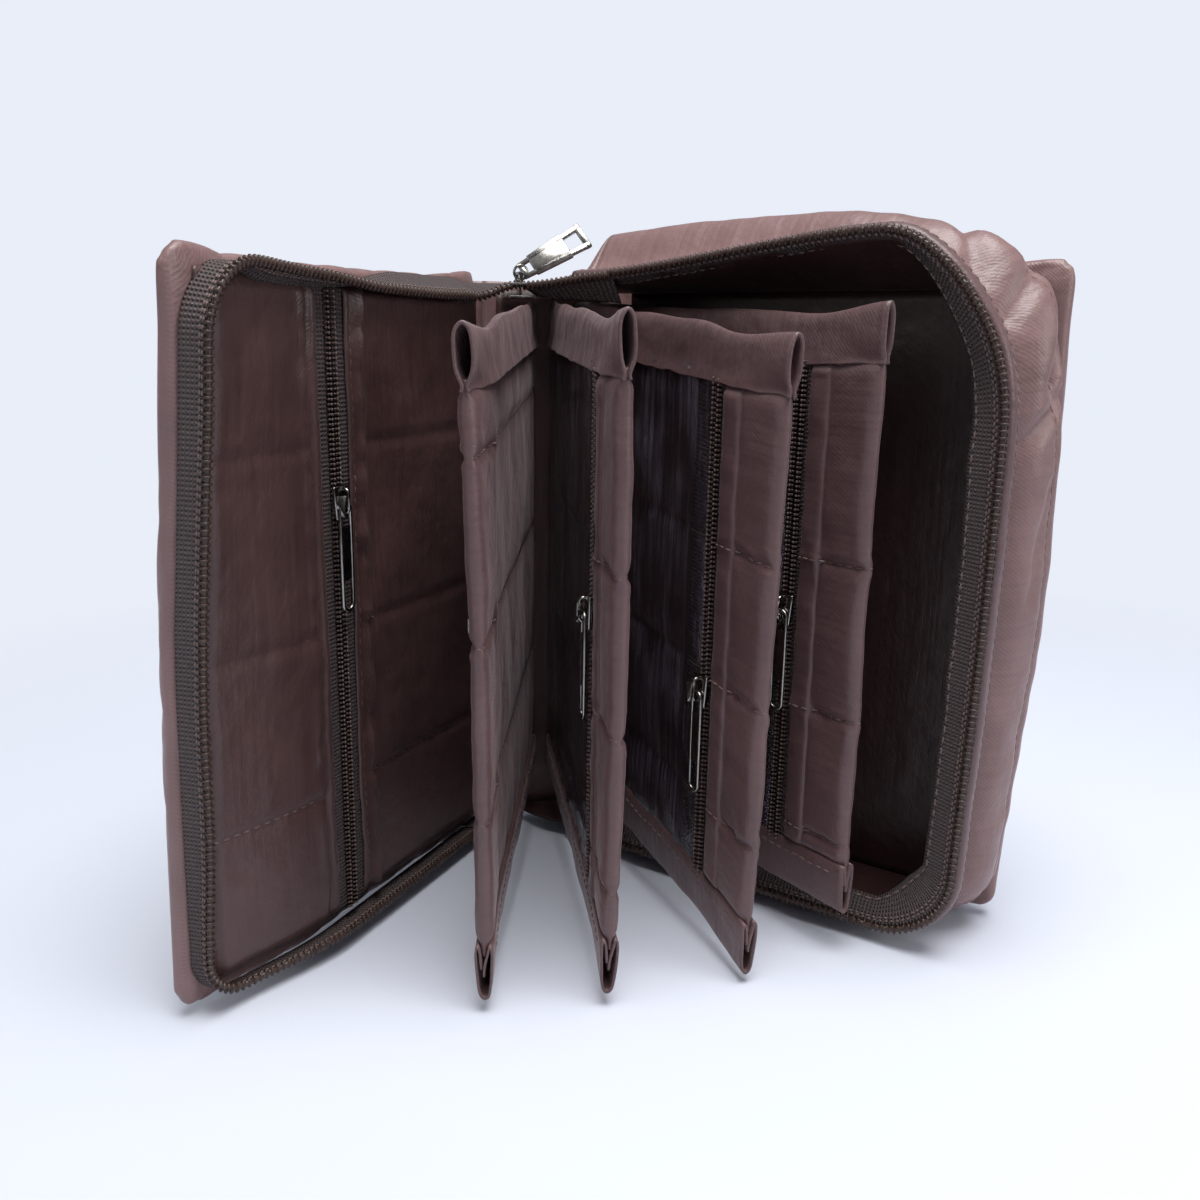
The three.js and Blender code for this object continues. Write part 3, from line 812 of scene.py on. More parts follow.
ROW_PITCH, ROW_TOOTH, ROW_HALF = 1.75, 1.05, (1.5, 1.0)  # of the main zip's coils
CORE_PITCH, CORE_LENGTH, CORE_SHARE = 2.4, 4.6, 0.62  # of the cord inside a coil
TAPE_CORD_LENGTH, TAPE_CORD = 1.2, (0.34, 0.32)
TAPE_WIDTH = 10  # of the main zip's tapes


def coil(bm, line, half=ROW_HALF):
    """A main zip's coil: thin loops round a core."""
    string(bm, line, ROW_PITCH, ROW_TOOTH, half)
    string(bm, line, CORE_PITCH, CORE_LENGTH, [CORE_SHARE * side for side in half])


def tape_cord(bm, place, across, lift):
    """A row of cord stitches along a main zip's tape, beside its coil."""
    string(bm, on_sheet(place, lambda t: (t, across), lift), ROW_PITCH, TAPE_CORD_LENGTH, TAPE_CORD)


def back_half():
    body = "back_half"
    padded_cover("back_cover", body, -1)
    add_sheet(
        "gusset", gusset_place, (280, 34), (RIM_LENGTH, GUSSET_DEPTH * GUSSET_SLACK), body, SATIN, "satin",
        "gusset_band",
    )
    # The rim's binding takes the darker satin copy, with its painted shade.
    add_sheet(
        "rim_binding_cloth", binding_place, (220, 10), (RIM_LENGTH, BINDING_WIDTH), body, SHADED_SATIN, "satin",
        "rim_binding",
    )
    add_sheet(
        "main_zip_tape_back", flange_place, (240, 8), (RIM_LENGTH, TAPE_WIDTH), body, TAPE, "zip_tape",
        "main_zip_back",
    )
    teeth = bmesh.new()
    coil(teeth, back_row)
    add_piece("main_coil_back", teeth, body, COIL, "zip_tape")
    thread = bmesh.new()
    sew(thread, on_sheet(gusset_place, lambda t: (t, TOPSTITCH), -0.3))
    sew(thread, on_sheet(binding_place, lambda t: (t, 0.3), -0.25))
    add_piece("gusset_stitching", thread, body, THREAD, "satin")
    cord = bmesh.new()
    for across in (0.13, 0.22):
        tape_cord(cord, flange_place, across, -0.35)
    sew(cord, on_sheet(flange_place, lambda t: (t, 0.86), -0.3))
    add_piece("main_zip_stitching_back", cord, body, ZIP_CORD, "zip_tape")
    # The gusset's and the back's linings take the darker lining copy, which paints the shade inside the back half.
    add_sheet(
        "gusset_lining_cloth", gusset_lining_place, (150, 16), (RIM_LENGTH, GUSSET_DEPTH), body, SHADED_LINING, "lining",
        "gusset_lining",
    )
    low, high = BACK_LINING
    add_sheet(
        "back_lining_cloth", back_lining_place, (40, 50), (high.x - low.x, high.z - low.z), body, SHADED_LINING, "lining",
        "back_lining",
    )


# Spine, its folds, and the webs that join its ends to the gusset


def spine_place(u, v):
    y, z = mix(SPINE_HIGH.y, SPINE_LOW.y, u), mix(SPINE_LOW.z, SPINE_HIGH.z, v)
    out = 0.9 * arch(u) + 0.5 * rumple(y, z, 21, 9)
    return Vector((SPINE_LOW.x - out, y, z))


def spine_lining_place(u, v):
    low, high = SPINE_LINING
    y, z = mix(high.y, low.y, u), mix(SPINE_LOW.z + 0.5, high.z, v)
    return Vector((high.x - 0.4 + 0.25 * rumple(y, z, 15, 10), y, z))


def turned(point, degrees):
    return turn(degrees) @ Vector(point)


FOLD_OUT = 4.3  # radius of the cloth round a fold
FOLD_WRAP = 2.6  # width of that cloth, in radii
FOLD_FROM, FOLD_TO = 52, 236  # degrees round a fold, from a cover's outside to the shut spine's
FOLD_BEND = (3, 4)  # FOLD_BEND = (3, 4) # distance in X and Y from a fold to the points given in its cloth's bends
SPINE_BOARD = 1.6  # thickness of the spine's panel


def fold_place(start, end, seed):
    """Cloth round a fold, between two angles in degrees, in the frame of the cover beside it."""

    def place(u, v):
        angle = math.radians(mix(start, end, u))
        z = mix(SPINE_LOW.z, SPINE_HIGH.z, v)
        radius = FOLD_OUT + 1.2 * abs(math.cos(math.pi * u)) ** 3 + 0.3 * rumple(u * 10, z, 12, seed)
        return Vector((radius * math.cos(angle), radius * math.sin(angle), z))

    return place


WEB_SAG = {True: 3.2, False: 1.6}  # of the top web, under the main puller, and of the bottom one
WEB_FALL = 1.6  # how steeply the top web comes down from the gusset


def web_place(top):
    """The gusset's end, fanned out over the spine's end; t runs from the gusset to the spine."""

    def place(t, v):
        level = RIM_INSET + 0.6 + WEB_SAG[top] * arch(t) * arch(v)
        reach = mix(2, mix(GUSSET_FAR + 4, GUSSET_FAR + 9, t), v)
        if top:
            end = gusset_place(0, v)
            level = mix(end.z, COVER_HEIGHT - level, ease(WEB_FALL * t))
            reach = mix(-end.y, mix(2, GUSSET_FAR + 9, v), t)
        point = turned((GUSSET_START, -reach, 0), -FOLD_OPEN * t)
        return Vector((point.x, point.y, level))

    return place


def lead_back(top):
    """Zip tape from the start of the back row to the slider, in the back half's frame."""
    mouth = turned((MAIN_PIVOT.x + 4, MAIN_PIVOT.y, 0) if top else (5, -12, 0), -FOLD_OPEN)
    height = COVER_HEIGHT - RIM_INSET - 1.2 if top else RIM_INSET + 1.2

    def place(t, v):
        edge = mix(Vector((ZIP_START + 1, -ROW_END + 1.4, 0)), mouth, t)
        base = edge + Vector((mix(0, 2, t), 5.5, 0))
        point = mix(edge, base, v)
        drop = 8.0 * v * (1 - t) + 3 * v * t
        rise = rim_rise(ZIP_START) * (1 - ease(t))
        return Vector((point.x, point.y, height - drop + rise if top else height + drop))

    return place


SLIDER_IN_FRONT = turned((MAIN_PIVOT.x + 4, MAIN_PIVOT.y - FRONT_FOLD, 0), FOLD_OPEN)


def lead_front(top):
    """Zip tape from the start of the front row to the slider, in the front cover's frame."""
    height = COVER_HEIGHT - RIM_INSET - 0.8 if top else RIM_INSET + 0.8
    mouth = SLIDER_IN_FRONT if top else turned((5, 12, 0), FOLD_OPEN)

    def place(t, v):
        edge = mix(Vector((ZIP_START + 1, FRONT_ROW_END - 1.2, 0)), mouth, t)
        base = mix(Vector((ZIP_START + 1, COVER_HALF + 0.3, 0)), Vector((5, COVER_HALF + 1.5, 0)), t)
        point = mix(base, edge, v)
        sag = front_sag(mix(ZIP_START, 8, t)) * v * (1 - ease(t)) if top else 0
        return Vector((point.x, point.y, height + sag))

    return place


LEAD_CUT = (20, 10)
WEB_CUT = (24, 36)  # before a corner is cut off it
WEB_WEAVE = (22, 34)  # the size its weave is laid out at
LEAD_BEND = 14  # LEAD_BEND = 14 # distance from the fold to the point given in a tape's bends on the spine


def zip_lead(half, end, place, bends):
    """Tape and coil between a row's start and the slider, shaped round the fold as it stands half open."""
    body = bends[0][0]
    tape = add_bent(f"main_tape_lead_{half}_{end}", loft(place, 24, 8, LEAD_CUT), body, TAPE, "zip_tape", bends)
    edge = 0 if half == "back" else 1
    teeth = bmesh.new()
    coil(teeth, lambda t: (place(t, edge), Vector((0, 0, 1))), ROW_HALF[::-1])
    add_bent(f"main_coil_lead_{half}_{end}", teeth, body, COIL, "zip_tape", bends, thickness=0)
    cut_size(LEAD_CUT)


def spine():
    body = "spine"
    width, height = SPINE_HIGH.y - SPINE_LOW.y, SPINE_HIGH.z - SPINE_LOW.z
    add_sheet(
        "spine_panel", spine_place, (24, 60), (width, height), body, SATIN, "satin", "spine_outer",
        SPINE_BOARD,
    )
    low, high = SPINE_LINING
    add_sheet(
        "spine_lining_cloth", spine_lining_place, (20, 40), (high.y - low.y, high.z - low.z), body, LINING, "lining",
        "spine_lining",
    )
    x, y = FOLD_BEND
    folds = {
        "back": (
            fold_place(FOLD_FROM, FOLD_TO - FOLD_OPEN, 11),
            (("back_half", (x, y, 0)), (body, (-x, -y, 0))),
        ),
        "front": (
            fold_place(360 - FOLD_TO + FOLD_OPEN, 360 - FOLD_FROM, 12),
            ((body, (-x, FRONT_FOLD + y, 0)), ("front_half", (x, -y, 0))),
        ),
    }
    around = (FOLD_OUT * FOLD_WRAP, height)
    for side, (place, bends) in folds.items():
        cloth = add_bent(
            f"{side}_fold_cloth", loft(place, 16, 60, around), f"{side}_half", SATIN, "satin", bends, (f"{side}_fold",)
        )
        cut_size(around)
    middle = GUSSET_START, -0.7 * GUSSET_FAR, 0
    # The bottom web takes the darker lining copy, which paints its shade.
    for end, top, finish, slot in (("top", True, SATIN, "satin"), ("bottom", False, SHADED_LINING, "lining")):
        web = add_bent(
            f"gusset_web_{end}", loft(web_place(top), 20, 16, WEB_WEAVE), "back_half", finish, slot,
            (("back_half", middle), (body, middle)),
        )
        cut_size(WEB_CUT)
        zip_lead("back", end, lead_back(top), (
            ("back_half", (ZIP_START, -ROW_END, 0)), (body, (LEAD_BEND, -ROW_END, 0)),
        ))
        zip_lead("front", end, lead_front(top), (
            ("front_half", (ZIP_START, FRONT_ROW_END, 0)), (body, (LEAD_BEND, FRONT_FOLD + FRONT_ROW_END, 0)),
        ))


# Front half

TAPE_STAND = FRONT_ROW_END - COVER_HALF  # how far the front row stands off the cover
FRONT_SAG = through([-4.4, -4.9, -4.2, -1.2, 0.2, -0.4])  # of the top run, from the fold to the free corner
FRONT_BOW = through([-7.5, -7.0, -6.2, -4.8, -1.2, 2.4, 5.0])  # of the free edge, from its foot to its top


def front_sag(x):
    """The front row's top run is slack: it rises at the free corner and sinks towards the slider."""
    return FRONT_SAG((x - ZIP_START) / (COVER_WIDTH - RIM_INSET - ZIP_START))


def front_bow(x, z):
    """How far the front cover's free edge is curled, towards the leaves at the top and away from them below."""
    start = COVER_ZIP + 8
    return ease((x - start) / (COVER_WIDTH - start)) * FRONT_BOW(z / COVER_HEIGHT)


def front_row_point(t, stand):
    point, out = rim(RIM_INSET + 0.8, FRONT_CORNERS, ZIP_START)(t)
    share = stand / TAPE_STAND
    foot = ease((60 - point.z) / 50) * ease((point.x - 90) / 40)
    point.z += front_sag(point.x) * share * ease((point.z - COVER_HEIGHT / 2) / 80)
    point.z -= 7 * (1 - share) * max(out.z, 0) * ease((point.x - 50) / 40) * ease((COVER_WIDTH - 12 - point.x) / 20)
    lean = 1.2 * (1 - share) + 0.4 * rumple(t * RIM_LENGTH, stand, 18, 13) * share
    reach = stand * (1 - 0.3 * foot)
    return point + out * lean + Vector((0, COVER_HALF + reach + front_bow(point.x, point.z), 0)), out


def front_tape_place(u, v):
    return front_row_point(u, mix(0.2, TAPE_STAND - 1.2, v))[0]


def front_row(t):
    return front_row_point(t, TAPE_STAND - 0.8)[0], Vector((0, 1, 0))


HEM = 3.2  # width of the folded hems beside the pocket zip
HEM_REACH = {"outer": 6.6, "inner": 5.8}  # from the middle of the zip to the hems


def front_panel_place(x_zip, x_far, roll, seed):
    """A lining panel: its hem by the zip is folded and puckered, and the other edges are sewn down."""
    low, high = FRONT_POCKET
    side = math.copysign(1, x_far - x_zip)

    def place(u, v):
        z = mix(low.z - 1, high.z + 1, v)
        wander = 0.9 * rumple(z, 0, 24, seed) + 0.35 * rumple(z, 0, 6, seed)
        x = mix(x_zip + wander, x_far, u)
        past = abs(x - x_zip - wander)
        puckers = 1 + 0.9 * rumple(z, past, 5, seed + 1)
        y = FRONT_TAPE_FACE + 0.2 + 0.9 * near(past - 1.0, 1.0) - 0.9 * near(past - HEM, 0.6)
        y += roll * near(past - HEM - 2.0, 1.5) * puckers
        y += 1.1 * ease(past / 14) * (0.4 + rumple(x, z, 26, seed + 2))
        y -= 0.8 * tuck(z, SEAMS["front"]) * ease(past / 6)
        y += 0.25 * rumple(x, z, 7, seed + 3)
        y = mix(COVER_HALF + 0.4, y, ease((1 - u) * abs(x_far - x_zip) / 5))
        y = mix(COVER_HALF + 0.5, y, ease(min(v, 1 - v) * (high.z - low.z) / 4))
        return Vector((x - side * 0.2, y + front_bow(x, z), z))

    return place


POCKET_ROW = 1.3  # from the middle of a pocket zip to the middle of a row
POCKET_PITCH, POCKET_TOOTH, POCKET_HALF = 1.3, 0.85, (1.25, 0.7)
POCKET_CORD = (0.32, 0.3)
POCKET_LIFT, POCKET_CORD_LIFT = 0.6, 1.25  # of a row, and of the cord sewn along it, over the tape
TAPE_START = 0.6  # from the middle of a pocket zip to its tapes


def pocket_zip(name, body, at, facing, reach, z_range):
    """A pocket's zip tapes and coil. at(x, y, z) is a place on the zip, x and y from the middle of its face, and
    reach gives each tape's node and the distance to its edge."""
    length = z_range[1] - z_range[0]
    pieces = []
    chain, cord = bmesh.new(), bmesh.new()
    for node, edge in reach.items():
        side = math.copysign(1, edge)
        tape = lambda u, v: at(mix(side * TAPE_START, edge, v), 0, mix(*z_range, u))
        pieces.append(add_piece(
            f"{name}_zip_tape_{node}", loft(tape, 90, 6, (length, abs(edge))), body, TAPE, "zip_tape",
            (f"{name}_zip_{node}",), CLOTH,
        ))
        for row, lift, half in ((chain, POCKET_LIFT, POCKET_HALF), (cord, POCKET_CORD_LIFT, POCKET_CORD)):
            line = lambda t: (at(side * POCKET_ROW, lift, mix(*z_range, t)), facing)
            string(row, line, POCKET_PITCH, POCKET_TOOTH, half)
    pieces.append(add_piece(f"{name}_coil", chain, body, COIL, "zip_tape"))
    pieces.append(add_piece(f"{name}_coil_cord", cord, body, ZIP_CORD, "zip_tape"))
    return pieces


def front_half():
    body = "front_half"
    padded_cover("front_cover", body, 1)
    tape = add_piece(
        "main_zip_tape_front", loft(front_tape_place, 240, 8, (RIM_LENGTH, TAPE_STAND)), body, TAPE, "zip_tape",
        ("main_zip_front",), CLOTH,
    )
    cut_size((RIM_LENGTH, TAPE_WIDTH))
    teeth = bmesh.new()
    coil(teeth, front_row)
    add_piece("main_coil_front", teeth, body, COIL, "zip_tape")
    cord = bmesh.new()
    for facing in (-1, 1):
        for across in (0.76, 0.85):
            tape_cord(cord, front_tape_place, across, 0.32 * facing)
    add_piece("main_zip_stitching_front", cord, body, ZIP_CORD, "zip_tape")
    low, high = FRONT_POCKET
    zip_at = lambda x, y, z: Vector((COVER_ZIP + x, FRONT_TAPE_FACE - 0.2 + y, z))
    reach = {name: math.copysign(HEM_REACH[name] + 2, side) for name, side in (("outer", 1), ("inner", -1))}
    zip_pieces = pocket_zip("front", body, zip_at, Vector((0, 1, 0)), reach, (low.z, high.z))
    thread = bmesh.new()
    for name, side, roll, seed in (("outer", 1, 0.7, 20), ("inner", -1, 2.1, 30)):
        x_far = high.x if side > 0 else low.x
        x_zip = COVER_ZIP + side * HEM_REACH[name]
        place = front_panel_place(x_zip, x_far, roll, seed)
        size = (abs(x_far - x_zip), high.z - low.z)
        nodes = (f"front_lining_{name}", "front_pocket_sheet") if side > 0 else (f"front_lining_{name}",)
        panel = add_piece(
            f"front_lining_{name}_cloth", loft(place, 46, 110, size), body, LINING, "lining", nodes, CLOTH
        )
        cut_size(size)
        facing = -side
        sew(thread, on_sheet(place, lambda t: (HEM / size[0], mix(0.02, 0.98, t)), 0.25 * facing))
        for seam in SEAMS["front"]:
            level = (seam - low.z + 1) / (high.z - low.z + 2)
            sew(thread, on_sheet(place, lambda t: (mix(0.1, 0.95, t), level), 0.2 * facing))
    add_piece("front_stitching", thread, body, THREAD, "lining")


# Leaves

LEAF_DROOP = 8.5  # how far the free edge hangs below the seam
LEAF_FOOT = {1: 6, 2: 6, 3: 7, 4: -3}  # how much further its foot hangs
LEAF_HEAD = {1: -0.2, 2: -3.8, 3: 0.8, 4: -7.2}  # how much further its top hangs
LEAF_TWIST = {1: -2.2, 2: 1, 3: 3, 4: 0.5}  # lean of the edge band from its middle to its top
LOOP_HALF = {1: 2.1, 2: 1.9, 3: 1.7, 4: 1.5}  # half the width of the loop at the sleeve's open end
LEAF_TAPES = {"outer": 5, "inner": -11}  # reach of a leaf's zip tapes, the inner one behind the film
SLEEVE_HEIGHT = 13.5
FILM_LIFT = -FILM_FACE + 0.3
LEAF_HALF_HEIGHT = (LEAF_TOP - LEAF_BOTTOM) / 2


def leaf_shape(number):
    """Puts a point of a flat leaf where the hanging leaf has it."""
    pivot = pivot_of(f"leaf_{number}", f"leaf_{number}")

    def settle(x, y, z):
        share = x / LEAF_LENGTH
        past = ease((x - LEAF_ZIP - 3) / (LEAF_LENGTH - LEAF_ZIP - 3))
        above = (z - pivot.z) / LEAF_HALF_HEIGHT
        lean = past * (LEAF_TWIST[number] * above + 0.6 * math.sin(2.4 * above + number))
        height = (z - LEAF_BOTTOM) / (LEAF_TOP - LEAF_BOTTOM)
        fall = LEAF_DROOP * share + share**2 * mix(LEAF_FOOT[number], LEAF_HEAD[number], height)
        return Vector((x, y + lean, z - fall))

    return settle


def leaf_pieces(number):
    name = body = f"leaf_{number}"
    settle = leaf_shape(number)
    low, high = LEAF_BOTTOM + SLEEVE_HEIGHT, LEAF_TOP - SLEEVE_HEIGHT
    seed = 10 * number
    seams = SEAMS[number]

    def back_place(u, v):
        x, z = mix(-1, BAND_START + 2, u), mix(low - 3, high + 3, v)
        y = 0.9 + 0.7 * swell(z, low, high, seams) * arch(u) - 0.5 * tuck(z, seams)
        return settle(x, y + 0.5 * rumple(x, z * 0.3, 11, seed) + 0.3 * rumple(x, z, 19, seed + 9), z)

    def film_place(u, v):
        x, z = mix(-0.5, LEAF_ZIP - 2.7, u), mix(low - 2, high + 2, v)
        hem = max(min(z - low, high - z), 0)
        puckers = 0.7 * rumple(x, z * 0.4, 2.8, seed + 1) * near(hem, 5)
        bulge = 0.5 * swell(z, low, high, seams) * arch(u)
        y = FILM_FACE - 0.25 - bulge - 0.4 * rumple(x, z, 20, seed + 2)
        return settle(x, y * ease((x + 4) / 6) + puckers + 0.4 * tuck(z, seams), z)

    def band_place(u, v):
        z = mix(low - 2, high + 2, u)
        pull, full = tuck(z, seams), swell(z, low, high, seams)
        edge = LEAF_LENGTH + 0.3 * full + 0.5 * tuck(z, seams, 4) - 0.3 * pull + 0.8 * rumple(z, 0, 26, seed + 3)
        half = 1.8 * (1 - 0.5 * pull) + 0.3 * full + 0.35 * rumple(z, 0, 20, seed + 4)
        tucked = mix(1, 0.3, max(ease((z - high + 3) / 4), ease((low + 3 - z) / 4)))
        start = LEAF_ZIP + 4.2 + 0.4 * rumple(z, 0, 9, seed + 5)
        fold = FILM_LIFT + 0.9 + 0.35 * rumple(z, 0, 5, seed + 6)
        section = path(
            (start + 1.5, -FILM_LIFT), (start, -FILM_LIFT - 0.4), (start + 1.2, -fold), (start + 5.5, -fold),
            (start + 6.6, -FILM_LIFT - 0.1), (start + 8.2, -half - 0.1), (mix(start, edge, 0.7), -half - 0.2),
            (edge - half, -half), (edge, 0), (edge - half, half), (mix(start, edge, 0.6), half),
            (BAND_START + 3, half * 0.95), (BAND_START, 1.9), (BAND_START + 0.8, 1.2),
        )(v)
        pinch = 0.8 * rumple(section.x, z, 3.5, seed + 7) * tuck(z, seams, 5)
        return settle(section.x, (section.y + pinch + 0.2 * rumple(section.x, z, 6, seed + 8)) * tucked, z)

    def sleeve_place(u, v):
        x = mix(SLEEVE_START - 3, LEAF_LENGTH + 0.6, u)
        open_end = ease((u - 0.84) / 0.16)
        wide = mix(1.3, LOOP_HALF[number], open_end) + 0.25 * rumple(x, 0, 15, seed + 5)
        top = LEAF_TOP + 1.0 * rumple(x, 0, 24, seed + 5) - 1.6 * near(u - 0.82, 0.1) + 0.8 * open_end
        foot = high - 0.8 + 0.6 * rumple(x, 0, 7, seed + 6)
        pinch = mix(1.9, 0.6, open_end)
        side = [
            (pinch + 0.3, foot + 0.2), (pinch, foot + 1.6), (mix(pinch, wide, 0.8), mix(foot, top, 0.32)),
            (wide, mix(foot, top, 0.6)), (wide * 0.8, top - 1.9),
        ]
        section = path(*((-y, z) for y, z in side), (0, top), *reversed(side))(v)
        ripple = 0.25 * rumple(x, section.y, 6, seed + 7)
        return settle(x, section.x + ripple, section.y)

    def binding_place(u, v):
        x = mix(SLEEVE_START - 1, LEAF_LENGTH + 0.8, u)
        wide = 1.9 + 0.3 * rumple(x, 0, 13, seed + 9)
        head = low + 0.8 + 0.5 * rumple(x, 0, 8, seed + 7)
        foot = LEAF_BOTTOM + 0.6 * rumple(x, 0, 14, seed + 8)
        section = path(
            (-0.7, head - 6), (-1.0, head - 2), (-1.5, head - 0.2), (-2.1, head - 1.5),
            (-wide, mix(head, foot, 0.5)), (-wide * 0.7, foot + 1.6), (0, foot), (wide * 0.7, foot + 1.6),
            (wide, mix(head, foot, 0.5)), (2.1, head - 1.5), (1.5, head - 0.2), (1.0, head - 2),
            (0.2, head - 5), (-0.1, head - 8),
        )(v)
        return settle(x, section.x + 0.2 * rumple(x, section.y, 6, seed + 3), section.y)

    height = high - low
    # The leaves' cloth takes the darker satin copy, which paints their shade inside the pouch.
    cuts = {
        "back_cloth": (back_place, 44, 80, (BAND_START, height), SHADED_SATIN, "satin", "back", CLOTH),
        "film": (film_place, 60, 110, (LEAF_ZIP, height), FILM, "clear_film", "window", 0.2),
        "band_cloth": (band_place, 170, 46, (height, 56), SHADED_SATIN, "satin", "edge_band", CLOTH),
        "sleeve_cloth": (sleeve_place, 90, 36, (LEAF_LENGTH, 29), SHADED_SATIN, "satin", "top_sleeve", 0.8),
        "binding_cloth": (binding_place, 80, 44, (LEAF_LENGTH, 40), SHADED_SATIN, "satin", "bottom_binding", 0.6),
    }
    pieces = {}
    for key, (place, columns, rows, flat, finish, slot, node, thickness) in cuts.items():
        pieces[key] = add_piece(
            f"{name}_{key}", loft(place, columns, rows, flat), body, finish, slot, (f"{name}_{node}",), thickness
        )
    zip_at = lambda x, y, z: settle(LEAF_ZIP + x, FILM_FACE + 0.2 - y, z)
    zip_pieces = pocket_zip(name, body, zip_at, Vector((0, -1, 0)), LEAF_TAPES, (low - 1, high + 1))
    thread = bmesh.new()
    for place, across in ((sleeve_place, (0.07, 0.93)), (binding_place, (0.26, 0.66))):
        for v in across:
            sew(thread, on_sheet(place, lambda t: (mix(0.02, 0.97, t), v), -0.35))
    for seam in seams:
        along = (seam - low + 2) / (height + 4)
        sew(thread, on_sheet(band_place, lambda t: (along, mix(0.03, 0.97, t)), -0.3))
        sew(thread, on_sheet(back_place, lambda t: (mix(0.03, 0.97, t), (seam - low + 3) / (height + 6)), -0.3))
    stitching = add_piece(f"{name}_stitching", thread, body, THREAD, "satin")
    for piece in [*pieces.values(), *zip_pieces, stitching]:
        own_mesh(piece)
    for key, piece in pieces.items():
        held = "stretched" if key in ("back_cloth", "film") else "folded"
        rests_on = ["spine_lining_cloth" if key == "back_cloth" else f"{name}_back_cloth"]
        cut_size(cuts[key][3])
        zip_pieces if key == "film" else ()


# Metal

PULLER_LOW, PULLER_HIGH = node_box("front_pull", "front_puller")
SLIDER_LOW, SLIDER_HIGH = node_box("front_slide", "front_slider")
PULLER_WIRE = 0.6
PULLER_ROLL = 62  # the main puller's plate hangs turned on its link, with its face to the front
PLATE_RAIL = 2.0  # width of its sides


def pocket_slider(name):
    bm = bmesh.new()
    half = SLIDER_HIGH.x
    block(bm, (-half, SLIDER_LOW.y, SLIDER_LOW.z), (half, SLIDER_LOW.y + 0.7, SLIDER_HIGH.z), 0.3)
    top = SLIDER_LOW.y + 3.8
    block(bm, (-half, top - 0.9, SLIDER_LOW.z), (half, top, SLIDER_HIGH.z), 0.4)
    for side in (-1, 1):
        edge = side * (half - 0.3)
        block(bm, (min(edge, edge - side * 0.7), top - 1.7, SLIDER_LOW.z + 0.5),
              (max(edge, edge - side * 0.7), top - 0.3, SLIDER_HIGH.z - 2.5), 0.25)
    for vert in bm.verts:
        vert.co.x *= mix(0.72, 1, ease((vert.co.z - SLIDER_LOW.z) / (SLIDER_HIGH.z - SLIDER_LOW.z)))
    ring(bm, 1.5, 0.5, 3.4, Matrix.Translation((0, top + 0.6, 0.6)) @ Matrix.Rotation(TAU / 4, 4, "Z"))
    add_piece(f"{name}_slider_metal", bm, f"{name}_slide", NICKEL, "nickel", (f"{name}_slider",))


def pocket_puller(name):
    bm = bmesh.new()
    radius = PULLER_HIGH.x - PULLER_WIRE
    length = PULLER_HIGH.z - PULLER_LOW.z
    middle = (PULLER_HIGH.z + PULLER_LOW.z) / 2
    ring(bm, radius, PULLER_WIRE, length - 2 * PULLER_HIGH.x, Matrix.Translation((0, 0, middle)))
    block(bm, (-radius, -0.28, PULLER_LOW.z + 9), (radius, 0.28, PULLER_HIGH.z - 6.5), 0.2)
    add_piece(f"{name}_puller_metal", bm, f"{name}_pull", NICKEL, "nickel", (f"{name}_puller",))


def main_metal():
    for node in ("main_slider", "main_link"):
        metal = frame["nodes"][node]
        metal.data.materials.clear()
        metal.data.materials.append(NICKEL)
        if node == "main_slider":
            weld = metal.modifiers.new("weld", "WELD")
            weld.merge_threshold = 0.00001
            soft = metal.modifiers.new("soft_edges", "BEVEL")
            soft.width = 0.25 * MM
            soft.segments = 2
            soft.limit_method = "ANGLE"
    low, high = node_box("main_pull", "main_puller")
    bm = bmesh.new()
    for x in (low.x, high.x - PLATE_RAIL):
        block(bm, (x, low.y, low.z), (x + PLATE_RAIL, high.y, high.z), 0.3)
    for start, end in ((low.y, low.y + 1.6), (low.y + 4, high.y - 7), (high.y - 2, high.y)):
        block(bm, (low.x, start, low.z), (high.x, end, high.z), 0.3)
    for vert in bm.verts:
        vert.co.x *= mix(0.62, 1, ease((vert.co.y - low.y) / 9))
    bmesh.ops.rotate(bm, matrix=Matrix.Rotation(math.radians(PULLER_ROLL), 3, "Y"), verts=bm.verts)
    add_piece("main_puller_metal", bm, "main_pull", NICKEL, "nickel", ("main_puller",))


# Studio

# Side view of the paper, in metres behind the object and up, and half its width
SWEEP = path((-3, 0), (-1, 0), (0.2, 0), (0.9, 0.02), (1.35, 0.3), (1.5, 1.0), (1.55, 2.6))
SWEEP_HALF = 4

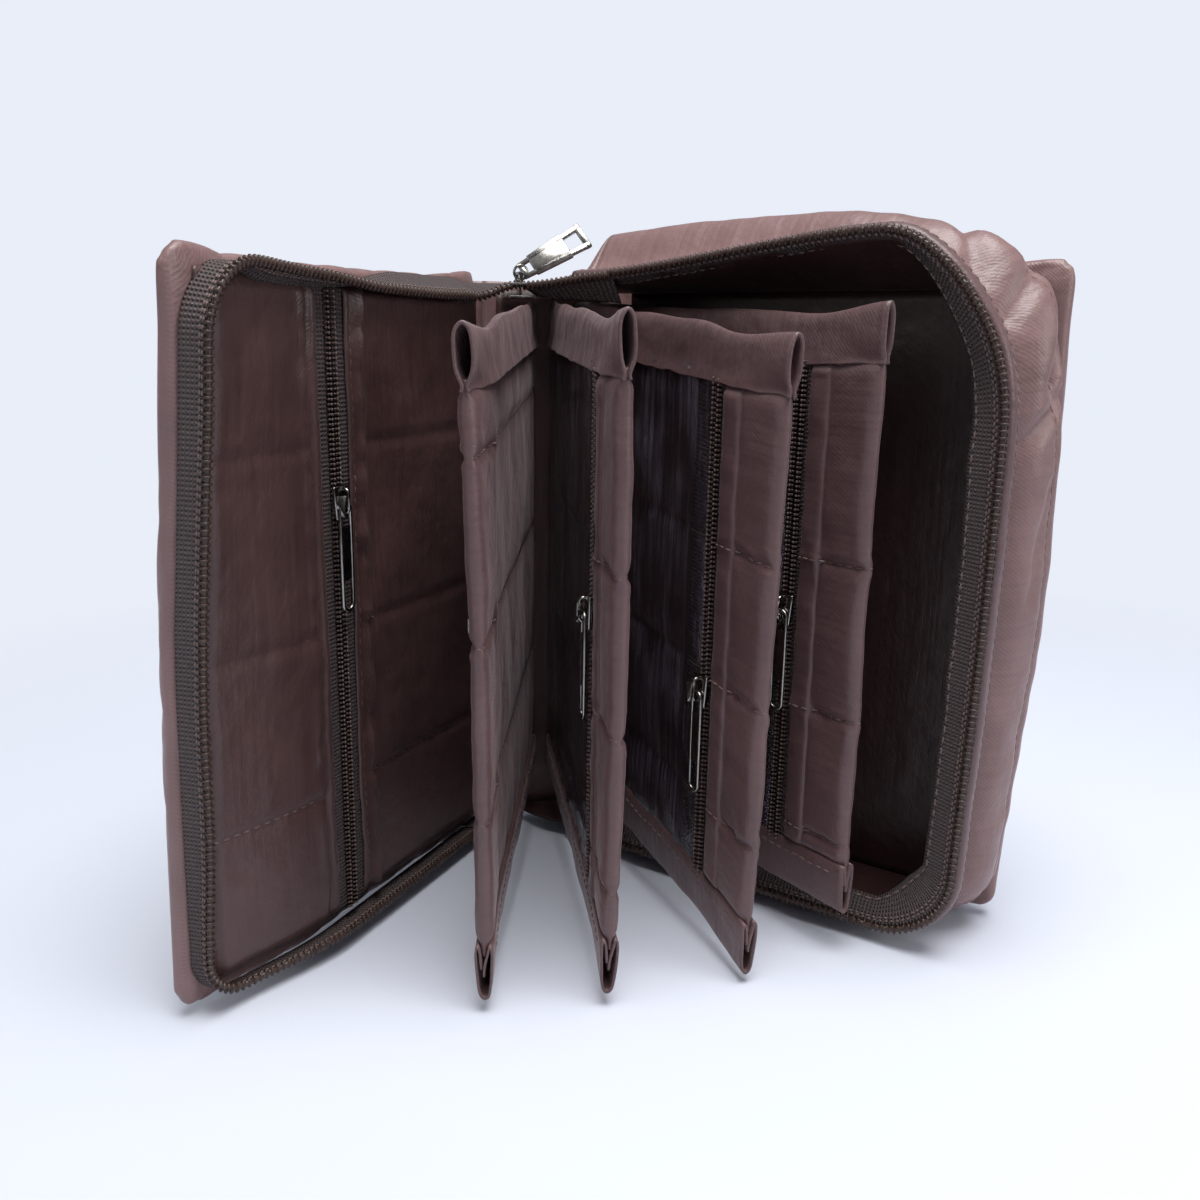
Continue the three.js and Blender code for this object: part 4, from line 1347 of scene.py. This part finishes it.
# Lamps as the camera sees them: metres to the right, ahead and up, then diameter in metres and watts
LAMPS = (
    ("top", 0.05, -0.25, 1.15, 0.8, 17.0),
    ("right", 1.0, -0.45, 0.5, 0.6, 3.5),
    ("left", -1.0, -0.5, 0.6, 0.7, 1.5),
)
LAMP_AIM = Vector((0, 0, 0.1))

# Camera of the photograph
CAMERA_PLACE = Vector((0.1403, -0.3224, 0.1715))
CAMERA_HEADING = 124.04
CAMERA_PITCH = -13.7
CAMERA_ROLL = 1.0
CAMERA_LENS = 33.0
CAMERA_SENSOR = 36.0


def sweep_place(u, v):
    return Vector((mix(-SWEEP_HALF, SWEEP_HALF, u), *SWEEP(v)))


def studio():
    heading = turn(CAMERA_HEADING - 90)
    bm = loft(sweep_place, 2, 60, (1, 1))
    bmesh.ops.transform(bm, matrix=heading, verts=bm.verts)
    smooth_thing("backdrop", bm, paper("pale_paper", linear(206, 210, 222), linear(233, 238, 249)))
    bpy.context.scene.world = room("studio", (0.93, 0.96, 1))
    for name, side, ahead, up, size, power in LAMPS:
        lamp = bpy.data.lights.new(name, "AREA")
        lamp.shape = "DISK"
        lamp.size = size
        lamp.energy = power
        spot = heading @ Vector((side, ahead, up))
        facing = (LAMP_AIM - spot).to_track_quat("-Z", "Y").to_matrix().to_4x4()
        put(name, lamp).matrix_world = Matrix.Translation(spot) @ facing


def camera():
    eye = bpy.data.cameras.new("camera")
    eye.lens, eye.sensor_width = CAMERA_LENS, CAMERA_SENSOR
    eye.clip_start, eye.clip_end = 0.01, 20
    stand = put("camera", eye)
    aim = turn(CAMERA_HEADING - 90) @ turn(90 + CAMERA_PITCH, "X") @ turn(CAMERA_ROLL)
    stand.matrix_world = Matrix.Translation(CAMERA_PLACE) @ aim
    bpy.context.scene.camera = stand
    bpy.context.scene.view_settings.view_transform = "Standard"


back_half()
spine()
front_half()
for leaf in LEAVES:
    leaf_pieces(leaf)
for holder in [f"leaf_{leaf}" for leaf in LEAVES] + ["front"]:
    pocket_slider(holder)
    pocket_puller(holder)
main_metal()
studio()
camera()
